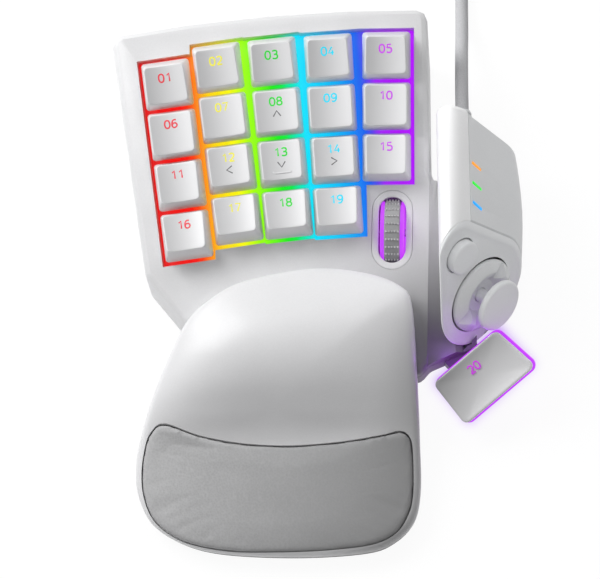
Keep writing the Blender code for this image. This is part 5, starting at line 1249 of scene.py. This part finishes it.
class KEYPAD_OT_case(bpy.types.Operator):
    """Finish the two covers, the feet and the screws"""
    bl_idname = "keypad.case"
    bl_label = "Case"

    def execute(self, context):
        for node, name in (("top_cover", "deck_cover"), ("bottom_cover", "lower_cover")):
            # Both covers take the deck look, with its painted shade towards the front right.
            dressed(copied(node, name, 35.0), shared_look("deck"), "base", "case_white", node)
        painted(shared_look("dark"), "thumb_module_frame", "pad_pivot", "wheel_cradle")
        painted(shared_look("rubber"), *[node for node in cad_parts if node.startswith("foot_")])
        painted(shared_look("steel"), "case_screw_1", "case_screw_2", "wheel_axle")
        return {"FINISHED"}


class KEYPAD_OT_wheel(bpy.types.Operator):
    """Model the studded click wheel, its lit rims and its bezel"""
    bl_idname = "keypad.wheel"
    bl_label = "Click wheel"

    def execute(self, context):
        tyre = turned("wheel_tread", [(0.0106, -0.0029), (0.0120, -0.0029), (0.0125, -0.0025), (0.0126, -0.0015),
                                      (0.0126, 0.0015), (0.0125, 0.0025), (0.0120, 0.0029), (0.0106, 0.0029)],
                      wheel_turn, 104, True)
        dressed(tyre, moulded("tread_rubber", (0.36, 0.36, 0.365), 0.6), "wheel", "wheel_tyre", "wheel_tyre")
        dressed(model_studs(), moulded("stud_rubber", (0.58, 0.58, 0.585), 0.5), "wheel", "wheel_tyre")
        rim = turned("wheel_light_rims", [(0.0017, -0.0044), (0.0108, -0.0044), (0.0114, -0.0042), (0.0117, -0.0038),
                                          (0.0117, -0.0032), (0.0103, -0.0032), (0.0103, 0.0032), (0.0117, 0.0032),
                                          (0.0117, 0.0038), (0.0114, 0.0042), (0.0108, 0.0044), (0.0017, 0.0044)],
                     wheel_turn, 104, True)
        dressed(rim, shared_look("violet"), "wheel", "violet_light", "wheel_rim")
        rings = [ring_on(wheel_place, slot_outline(reach), z) for reach, z in (
            (0.0025, -0.0032), (0.0025, -0.0004), (0.00242, -0.00016), (0.0022, -0.00004), (0.0019, 0.0),
            (0.0005, 0.0), (0.0002, -0.00006), (0.0, -0.0003), (0.0, -0.0016))]
        bezel = lofted("wheel_surround", rings, True)
        dressed(bezel, shared_look("gloss"), "base", "case_white", "wheel_bezel")
        return {"FINISHED"}


SLOT_HALF_WIDTH = 0.0050
SLOT_HALF_LENGTH = 0.0123


def slot_outline(reach):
    """Outline of the wheel's slot, grown by a reach."""
    radius, run, steps = SLOT_HALF_WIDTH + reach, SLOT_HALF_LENGTH - SLOT_HALF_WIDTH, 28
    return [(radius * math.cos(start + math.pi * step / steps), end + radius * math.sin(start + math.pi * step / steps))
            for end, start in ((run, 0.0), (-run, math.pi)) for step in range(steps + 1)]


def model_studs():
    """Rows of five small studs round the tread."""
    rows, across, spacing = 27, 5, 0.00108
    piece = fresh("cone", vertices=4, radius1=0.00060, radius2=0.00018, depth=0.0009)
    bpy.ops.object.mode_set(mode="OBJECT")
    first = piece.data.copy()
    joined = bmesh.new()
    for row in range(rows):
        for place in range(across):
            stud = first.copy()
            stud.transform(wheel_turn @ rotation(360.0 * row / rows, "Z") @ shift(0.0128, 0.0, (place - 2) * spacing)
                           @ rotation(90.0, "Y") @ rotation(45.0, "Z"))
            joined.from_mesh(stud)
            bpy.data.meshes.remove(stud)
    joined.to_mesh(piece.data)
    joined.free()
    piece.name = "tread_studs"
    return piece


class KEYPAD_OT_module(bpy.types.Operator):
    """Model the thumb module's shell, side panel, face and lit bars"""
    bl_idname = "keypad.module"
    bl_label = "Thumb module"

    def execute(self, context):
        outer = pod_outline(0.0, PANEL_INSET)
        inner = pod_outline(SHELL_WALL, PANEL_INSET)
        rings = [trimmed(ring_at_rear(pod_outline(inset, PANEL_INSET), SHELL_REAR - drop)) for inset, drop in
                 ((0.0030, 0.0), (0.0022, 0.00015), (0.0012, 0.0006), (0.0004, 0.0013), (0.0, 0.0022))]
        rings += [trimmed(ring_at_rear(outer, SHELL_EDGE)), trimmed(ring_at_depth(outer, 0.0013)),
                  trimmed(ring_at_depth(pod_outline(0.0001, PANEL_INSET), 0.0012)),
                  trimmed(ring_at_depth(inner, 0.0012), 0.0016), trimmed(ring_at_rear(inner, SHELL_EDGE), 0.0016),
                  trimmed(ring_at_rear(inner, 0.0510), 0.0016)]
        shell = lofted("module_shell", rings)
        dressed(shell, shared_look("bright"), "base", "case_white", "pod_shell")

        panel = lofted("module_side_panel", panel_rings())
        turn_point, crease = ring_on(face, pod_outline()[-2:], 0.0)
        down = Vector((turn_point.x - crease.x, 0.0, turn_point.z - crease.z)).normalized()
        outward = down.cross(Vector((0.0, 1.0, 0.0)))
        colours = ((0.98, 0.62, 0.12), (0.16, 0.90, 0.22), (0.10, 0.66, 0.98))
        for index, colour in enumerate(colours):
            y = 0.0334 - 0.0078 * index
            matrix = shift(crease.x, y, crease.z) @ Matrix((
                (down.x, 0.0, outward.x, 0.0), (0.0, 1.0, 0.0, 0.0), (down.z, 0.0, outward.z, 0.0),
                (0.0, 0.0, 0.0, 1.0))) @ rotation(-8.0, "Z")
            carved(panel, boxed("slot", (0.0019, -0.00065, -0.0020), (0.0083, 0.00065, 0.0100), matrix))
            lens = boxed("light_bar_%d" % (index + 1), (0.0021, -0.00045, -0.0012), (0.0081, 0.00045, 0.0004), matrix)
            eased(lens, 0.0002)
            dressed(lens, glowing("light_bar_%d" % (index + 1), linear(colour), 0.9), "base",
                    ("led_orange", "led_green", "led_blue")[index], "led_lens_%d" % (index + 1))
        eased(panel, 0.0003)
        dressed(panel, shared_look("grey"), "base", "case_grey", "pod_side_panel")

        plug_outline = pod_outline(SHELL_WALL + 2 * GAP, PANEL_INSET, every=True)
        lid_rings = [trimmed(ring_at_depth(plug_outline, 0.0032), 0.0019),
                     trimmed(ring_at_depth(plug_outline, 0.0009), 0.0019)]
        for inset, depth in ((0.0, 0.0009), (0.00006, 0.0007), (0.0002, 0.00045), (0.00045, 0.0002), (0.00075, 0.00005),
                             (0.0011, 0.0), (0.0016, 0.00006), (0.0022, 0.00022), (0.0029, 0.0004)):
            lid_rings.append(trimmed(ring_at_depth(pod_outline(inset, 0.0, 0.0008, True), depth)))
        lid = lofted("module_face", lid_rings)
        carved(lid, turned("hole", [(0.0152, -0.0040), (0.0152, 0.0100)], face, 96),
               turned("hole", [(0.0071, -0.0020), (0.0071, 0.0100)], button_place, 72),
               turned("hole", [(0.0023, -0.0040), (0.0023, 0.0100)], button_place, 32))
        eased(lid, 0.00025)
        dressed(lid, shared_look("control"), "base", "case_grey", "pod_face")
        return {"FINISHED"}


def panel_rings():
    """Sections of the side panel from its rear edge to the face, with its bulge."""
    def section(bulge):
        sides = []
        for points in (pod_outline(0.0, 0.0, bulge), pod_outline(0.0, PANEL_DEPTH)):
            side = [Vector(point) for point in points[-14:]]
            side[0] += (side[1] - side[0]).normalized() * GAP
            side[-1] += (side[-2] - side[-1]).normalized() * GAP
            sides.append([tuple(point) for point in side])
        return sides[0] + sides[1][::-1]

    rings = [trimmed(ring_at_rear(section(-0.0008), 0.0516))]
    for y, bulge in ((0.0485, -0.0001), (0.0430, 0.0008), (0.0365, 0.0016), (0.0300, 0.0020)):
        rings.append(trimmed(ring_at_rear(section(bulge), y)))
    for share in (0.33, 0.66, 1.0):
        outline = section(mixed(0.0020, 0.0008, share ** 2))
        near, far = ring_at_rear(outline, 0.0300), ring_at_depth(outline, 0.0012 + GAP)
        rings.append(trimmed([first.lerp(second, share) for first, second in zip(near, far)]))
    return rings


class KEYPAD_OT_controls(bpy.types.Operator):
    """Model the thumb button, the direction pad and the stick"""
    bl_idname = "keypad.controls"
    bl_label = "Thumb controls"

    def execute(self, context):
        button = turned("module_button", [(0.0020, -0.0039), (0.0020, -0.0007), (0.0064, -0.0007), (0.0064, 0.0019),
                                          (0.0063, 0.0023), (0.0060, 0.00258), (0.0055, 0.0027), (0.0040, 0.00268),
                                          (0.0020, 0.00262), (0.0003, 0.0026)], button_place)
        dressed(button, shared_look("control"), "thumb_button", "case_grey", "thumb_button")
        pad = model_pad()
        dressed(pad, shared_look("grey"), "thumb_pad", "case_grey", "thumb_pad")
        stick = turned("stick_cap", [(0.0026, -0.0011), (0.0026, 0.0074), (0.0090, 0.0074), (0.0096, 0.0076),
                                     (0.0099, 0.0081), (0.0099, 0.0093), (0.0097, 0.0097), (0.0093, 0.00995),
                                     (0.0088, 0.0100), (0.0084, 0.00992), (0.0060, 0.00988), (0.0003, 0.00988)],
                       face, 96)
        dressed(stick, shared_look("control"), "thumb_pad", "case_grey", "thumb_stick")
        for piece in (button, pad, stick, *[bpy.data.objects[name] for name in
                                            ("module_shell", "module_side_panel", "module_face")]):
            bpy.data.collections["thumb_module"].objects.link(piece)
        return {"FINISHED"}


def model_pad():
    """Direction pad: a raised ring round a crater, with four wedges that point outwards."""
    profile = ((0.0125, -0.0020), (0.0138, -0.0014), (0.0144, -0.0005), (0.0145, 0.0002), (0.0144, 0.0008),
               (0.0140, 0.0014), (0.0134, 0.0019), (0.0127, 0.0024), (0.0120, 0.0029), (0.0114, 0.0032),
               (0.0109, 0.00335), (0.0105, 0.00332), (0.0098, 0.0031), (0.0090, 0.0026), (0.0082, 0.0019),
               (0.0075, 0.0011), (0.0069, 0.0003), (0.0064, -0.0002), (0.0050, -0.0004), (0.0029, -0.0004),
               (0.0029, -0.0012))
    pad = turned("direction_pad", profile, face, 128)
    for angle, slope in ((24.0, 0.70), (176.0, 0.70), (-14.0, 1.6), (218.0, 1.6)):
        turn = face @ rotation(angle, "Z")
        valley = [[turn @ Vector((radius, across, 0.0010 + abs(across) * slope)) for across in (0.0, 0.0060, -0.0060)]
                  for radius in (0.0062, 0.0165)]
        carved(pad, lofted("valley", valley))
    soften_shading(pad, 20.0)
    return pad


THUMB_KEY_HEIGHT = 0.0030
THUMB_KEY_TRAVEL = 0.0030
PLATE_THICKNESS = 0.0016


class KEYPAD_OT_thumb_key(bpy.types.Operator):
    """Model the slanted thumb key, its number and the lit plate below it"""
    bl_idname = "keypad.thumb_key"
    bl_label = "Thumb key"

    def execute(self, context):
        top = thumb_outline(-0.0007)
        rings = [ring_on(thumb_key, shrunk(top, share, (0.0, 0.0)), -drop)
                 for share, drop in ((0.05, 0.0009), (0.40, 0.00088), (0.75, 0.00055), (0.95, 0.00012))]
        rings += [ring_on(thumb_key, thumb_outline(border), -drop)
                  for border, drop in ((-0.0007, 0.0), (-0.00035, 0.00006), (-0.0001, 0.00025), (0.0, 0.0006),
                                       (0.0, 0.0027), (-0.0003, THUMB_KEY_HEIGHT), (-0.0060, THUMB_KEY_HEIGHT))]
        key = lofted("thumb_cap", rings)
        stem = turned("stem", [(0.0030, -0.0082), (0.0030, -0.0020)], thumb_key, 32)
        carved(key, stem, operation="UNION")
        soften_shading(key)
        dressed(key, thumb_cap_look(), "key_20", "key_caps", "key_20")
        caps = settings("caps")
        number = inked("number_20", number_lines("20", caps.legend_height, 0.0), caps.legend_stroke,
                       lambda x, y: -0.0006, thumb_key @ shift(-0.0006, 0.0045, 0.0))
        glow = glowing("legend_light_thumb", linear((0.86, 0.25, 0.95)), 0.8, LEGEND_BASE)
        dressed(number, glow, "key_20", "key_caps")
        plate_bottom = -THUMB_KEY_HEIGHT - THUMB_KEY_TRAVEL - GAP - PLATE_THICKNESS
        plate = lofted("thumb_light_plate", [ring_on(thumb_key, thumb_outline(0.0006), z)
                                             for z in (plate_bottom, plate_bottom + PLATE_THICKNESS)])
        carved(plate, turned("hole", [(0.0036, -0.02), (0.0036, 0.01)], thumb_key, 32))
        dressed(plate, shared_look("violet"), "base", "violet_light", "thumb_key_light_plate")
        return {"FINISHED"}


def thumb_cap_look():
    """The thumb key's plastic, darker towards the module that shades it."""
    colour = tuple(settings("caps").colour)
    look = Look("thumb_cap_plastic")
    x, y, _ = look.parts_of(look.place())
    share = (x - THUMB_KEY_PLACE[0]) * 26.0 + (y - THUMB_KEY_PLACE[1]) * -16.0 + 0.55
    look.set("Base Color", look.blend(share.between(-0.15, 1.0), shaded(colour, 0.40), shaded(colour, 1.24)))
    look.grain(0.26, 0.1, 0.15)
    return look.material


def thumb_outline(border):
    """Outline of the thumb key, with its outer side a little longer than its inner one."""
    outer, inner, half = 0.0168 + border, 0.0151 + border, 0.00965 + border
    corners = [(outer, -half), (inner - 0.0010, half), (-inner - 0.0010, half), (-outer, -half)]
    return rounded(corners, max(0.0024 + border, 0.0004), 8)


class KEYPAD_OT_palm_rest(bpy.types.Operator):
    """Model the palm rest's glossy shell and its dark underside"""
    bl_idname = "keypad.palm_rest"
    bl_label = "Palm rest"

    def execute(self, context):
        shell = lofted("palm_shell", palm_rings(palm_line, 0.0))
        inside = offset_outline(palm_line, -PALM_WALL)
        hollow = lofted("hollow", palm_rings(inside, PALM_WALL, -0.006))
        front = PALM_CENTRE[1] - PALM_LENGTH * 0.07
        carved(hollow, boxed("front", (-0.2, -0.3, -0.1), (0.2, front, 0.2)))
        carved(shell, hollow)
        carved(shell, deck_space(), pocket())
        soften_shading(shell, 30.0)
        dressed(shell, shared_look("palm"), "palm_rest", "palm_white", "palm_rest_shell")
        under = copied("palm_rest_base", "palm_underside")
        room = lofted("room", [level(offset_outline(palm_line, -0.0008), z) for z in (-0.01, 0.05)])
        carved(room, boxed("rear", (-0.1, -0.030, -0.01), (0.1, 0.1, 0.05)), operation="UNION")
        carved(under, room, operation="INTERSECT")
        band = lofted("band", [level(offset_outline(palm_line, -0.0006), z) for z in (0.0020, 0.0041)])
        carved(band, deck_space())
        carved(under, band, operation="UNION")
        soften_shading(under)
        dressed(under, shared_look("dark"), "palm_rest", "case_dark", "palm_rest_base")
        return {"FINISHED"}


def palm_rings(outline, drop, bottom=0.0043):
    """Rings from the middle of the palm rest's top over its rounded rim down to its lower edge."""
    rings = [over_palm(shrunk(outline, share, PALM_CENTRE), -drop) for share in
             (0.02, 0.10, 0.19, 0.28, 0.37, 0.46, 0.54, 0.62, 0.69, 0.76, 0.82, 0.87, 0.91, 0.94)]
    rings += [over_palm(drawn_in(outline, inset), -drop - fall) for inset, fall in
              ((0.0020, 0.00008), (0.0015, 0.0003), (0.0010, 0.0006), (0.0006, 0.0010), (0.0003, 0.0015),
               (0.0001, 0.0021), (0.0, 0.0028))]
    return [*rings, level(outline, bottom + 0.0006), level(offset_outline(outline, -0.0005), bottom)]


def case_plan():
    """Plan of the case, counter-clockwise."""
    rear_left, rear_right, shelf, front_left = (Vector(point) for point in deck_corners())
    run = rear_left - rear_right
    side = Vector((run.y, -run.x)).normalized()
    rear = [rear_right + run * share + side * (0.0028 * 4 * share * (1 - share)) for share in (0.25, 0.5, 0.75)]
    palm_right = PALM_CENTRE[0] + PALM_WIDTH / 2
    return [tuple(rear_right), *[tuple(point) for point in rear], tuple(rear_left), tuple(front_left),
            (front_left.x + 0.0135, front_left.y - 0.0173), (front_left.x + 0.0225, front_left.y - 0.0275),
            (front_left.x + 0.0260, -0.0330), (palm_right + 0.0006, -0.0330),
            (palm_right + 0.0042, -0.0287), (PAD_CENTRE.x - 0.0020, PAD_CENTRE.y - 0.0150),
            (PAD_CENTRE.x - 0.0020, shelf.y), tuple(shelf)]


def deck_corners():
    """The four main corners of the deck, in plan."""
    def corner(column, side, end):
        *_, lean, front_row = columns[column]
        x, v = key_centre(column, 0 if end < 0 else front_row)
        angle = math.radians(lean)
        reach = KEY_HALF_BASE + 0.0014
        return (x + reach * (side * math.cos(angle) - end * math.sin(angle)),
                (v + reach * (side * math.sin(angle) + end * math.cos(angle))) * math.cos(math.radians(DECK_SLOPE)))
    left_rear, left_front = corner(0, -1, 1), corner(0, -1, -1)
    right_rear, right_front = corner(4, 1, 1), corner(4, 1, -1)
    return ((left_rear[0] - 0.0098, left_rear[1] + 0.0100), (right_rear[0] + 0.0050, right_rear[1] + 0.0072),
            (right_front[0] + 0.0057, right_front[1] + 0.0013), (left_front[0] - 0.0066, left_front[1] - 0.0028))


def deck_space():
    """The room that the deck takes below the palm rest's hump, with a little air."""
    room = 0.0006
    plan = offset_outline(case_plan(), room)
    slope = math.radians(DECK_SLOPE)
    top = [(x, y, DECK_HEIGHT + y * math.tan(slope) + room / math.cos(slope)) for x, y in plan]
    return lofted("deck_space", [level(plan, -0.01), top])


def pocket():
    """The room of the cushion's pocket."""
    depth = 0.0030
    outline = offset_outline(palm_plan(cushion_shares, PALM_POINTS), GAP * 0.7)
    middle = shrunk(outline, 0.5, outline_centre(outline))
    return lofted("pocket", [over_palm(middle, -depth), over_palm(outline, -depth), level(outline, 0.09)])


def outline_centre(outline):
    return [(min(values) + max(values)) / 2 for values in zip(*outline)]


class KEYPAD_OT_cushion(bpy.types.Operator):
    """Model the padded cushion in its pocket"""
    bl_idname = "keypad.cushion"
    bl_label = "Cushion"

    def execute(self, context):
        outline = palm_plan(cushion_shares, PALM_POINTS)
        centre = outline_centre(outline)
        crown, shoulder = settings("palm").crown, 0.00105
        rings = [over_palm(shrunk(outline, share, centre), -0.0027) for share in (0.04, 0.25, 0.5, 0.75, 0.9, 0.985)]
        rings += [over_palm(drawn_in(outline, inset), rise) for inset, rise in
                  ((0.0, -0.0014), (0.0, -0.0008), (0.0001, -0.0003), (0.0004, 0.0001), (0.0009, 0.0005),
                   (0.0016, 0.0008), (0.0026, shoulder))]
        rings += [over_palm(shrunk(outline, share, centre), mixed(shoulder, crown, 1.0 - share ** 4))
                  for share in (0.88, 0.80, 0.70, 0.60, 0.50, 0.40, 0.30, 0.20, 0.10, 0.03)]
        cushion = swollen(lofted("cushion_cover", rings, smooth=60.0), 0.0011, 0.0008)
        dressed(cushion, leatherette(tuple(settings("palm").cushion)), "palm_rest", "palm_cushion", "palm_cushion")
        return {"FINISHED"}


CLOTH_FRAMES = 20


def swollen(piece, voxel, most):
    """Blow a padded piece up a little as cloth under pressure, held where it sits in its pocket."""
    applied(piece, "REMESH", mode="VOXEL", voxel_size=voxel, use_smooth_shade=True)
    corners = piece.data.vertices
    before = [corner.co.copy() for corner in corners]
    held = piece.vertex_groups.new(name="held")
    for corner in corners:
        above = corner.co.z - palm_height(corner.co.x, corner.co.y)
        held.add([corner.index], 1.0 - smooth_step((above + 0.0002) / 0.0010), "REPLACE")
    cloth = piece.modifiers.new("cloth", "CLOTH")
    for key, value in (("quality", 6), ("mass", 0.03), ("use_pressure", True), ("uniform_pressure_force", 4.0),
                       ("tension_stiffness", 5.0), ("compression_stiffness", 5.0), ("shear_stiffness", 3.0),
                       ("bending_stiffness", 0.5), ("vertex_group_mass", "held")):
        setattr(cloth.settings, key, value)
    cloth.settings.effector_weights.gravity = 0.0
    cloth.point_cache.frame_start, cloth.point_cache.frame_end = 1, CLOTH_FRAMES
    for step in range(1, CLOTH_FRAMES + 1):
        bpy.context.scene.frame_set(step)
    alone(piece)
    bpy.ops.object.modifier_apply(modifier="cloth")
    bpy.context.scene.frame_set(1)
    for corner, place in zip(piece.data.vertices, before):
        way = corner.co - place
        if way.length > most:
            corner.co = place + way.normalized() * most
    piece.vertex_groups.clear()
    return applied(piece, "SUBSURF", levels=1, render_levels=1)


def leatherette(colour):
    """Soft artificial leather: fine pores over an upright grain, with a painted shade towards its right side."""
    look = Look("cushion_leatherette")
    place = look.place()
    pores = look.node("ShaderNodeTexVoronoi", None, {"Vector": place, "Scale": 1300.0})
    grain = look.noise(look.stretched(place, (1600.0, 350.0, 900.0)), 1.0, 3.0, 0.6)
    cloud = look.noise(place, 60.0, 2.0)
    height = pores * 0.5 + grain * 0.5
    tone = look.blend((height * 0.7 + cloud * 0.3).between(0.2, 0.8), shaded(colour, 0.88), shaded(colour, 1.10))
    # Painted shade: the cushion's colour darkens towards its right side.
    look.set("Base Color", look.blend(shadow(look, place, 1.0, -0.2, -0.045, 0.060), tone, shaded(colour, 0.62)))
    look.set("Roughness", grain * 0.15 + 0.58)
    look.bump(height, 0.35, 0.00015)
    return look.material


class KEYPAD_PT_panel(bpy.types.Panel):
    bl_label = "Gaming keypad"
    bl_idname = "KEYPAD_PT_panel"
    bl_space_type = "VIEW_3D"
    bl_region_type = "UI"
    bl_category = "Keypad"

    def draw(self, context):
        for group in groups:
            for name in group.__annotations__:
                self.layout.prop(settings(groups[group]), name)
        for operator in operators:
            self.layout.operator(operator.bl_idname)


groups = {CapSettings: "caps", GlowSettings: "glow", CaseSettings: "case", PalmSettings: "palm",
          CableSettings: "cable"}
operators = (KEYPAD_OT_stage, KEYPAD_OT_cable, KEYPAD_OT_caps, KEYPAD_OT_legends, KEYPAD_OT_light, KEYPAD_OT_case,
             KEYPAD_OT_wheel, KEYPAD_OT_module, KEYPAD_OT_controls, KEYPAD_OT_thumb_key, KEYPAD_OT_palm_rest,
             KEYPAD_OT_cushion)


def register():
    for group, name in groups.items():
        bpy.utils.register_class(group)
        setattr(bpy.types.Scene, "keypad_" + name, PointerProperty(type=group))
    for kind in (*operators, KEYPAD_PT_panel):
        bpy.utils.register_class(kind)


def unregister():
    for kind in (*operators, KEYPAD_PT_panel):
        bpy.utils.unregister_class(kind)
    for group, name in groups.items():
        delattr(bpy.types.Scene, "keypad_" + name)
        bpy.utils.unregister_class(group)


def main():
    register()
    for operator in operators:
        group, name = operator.bl_idname.split(".")
        getattr(getattr(bpy.ops, group), name)()


if __name__ == "__main__":
    main()
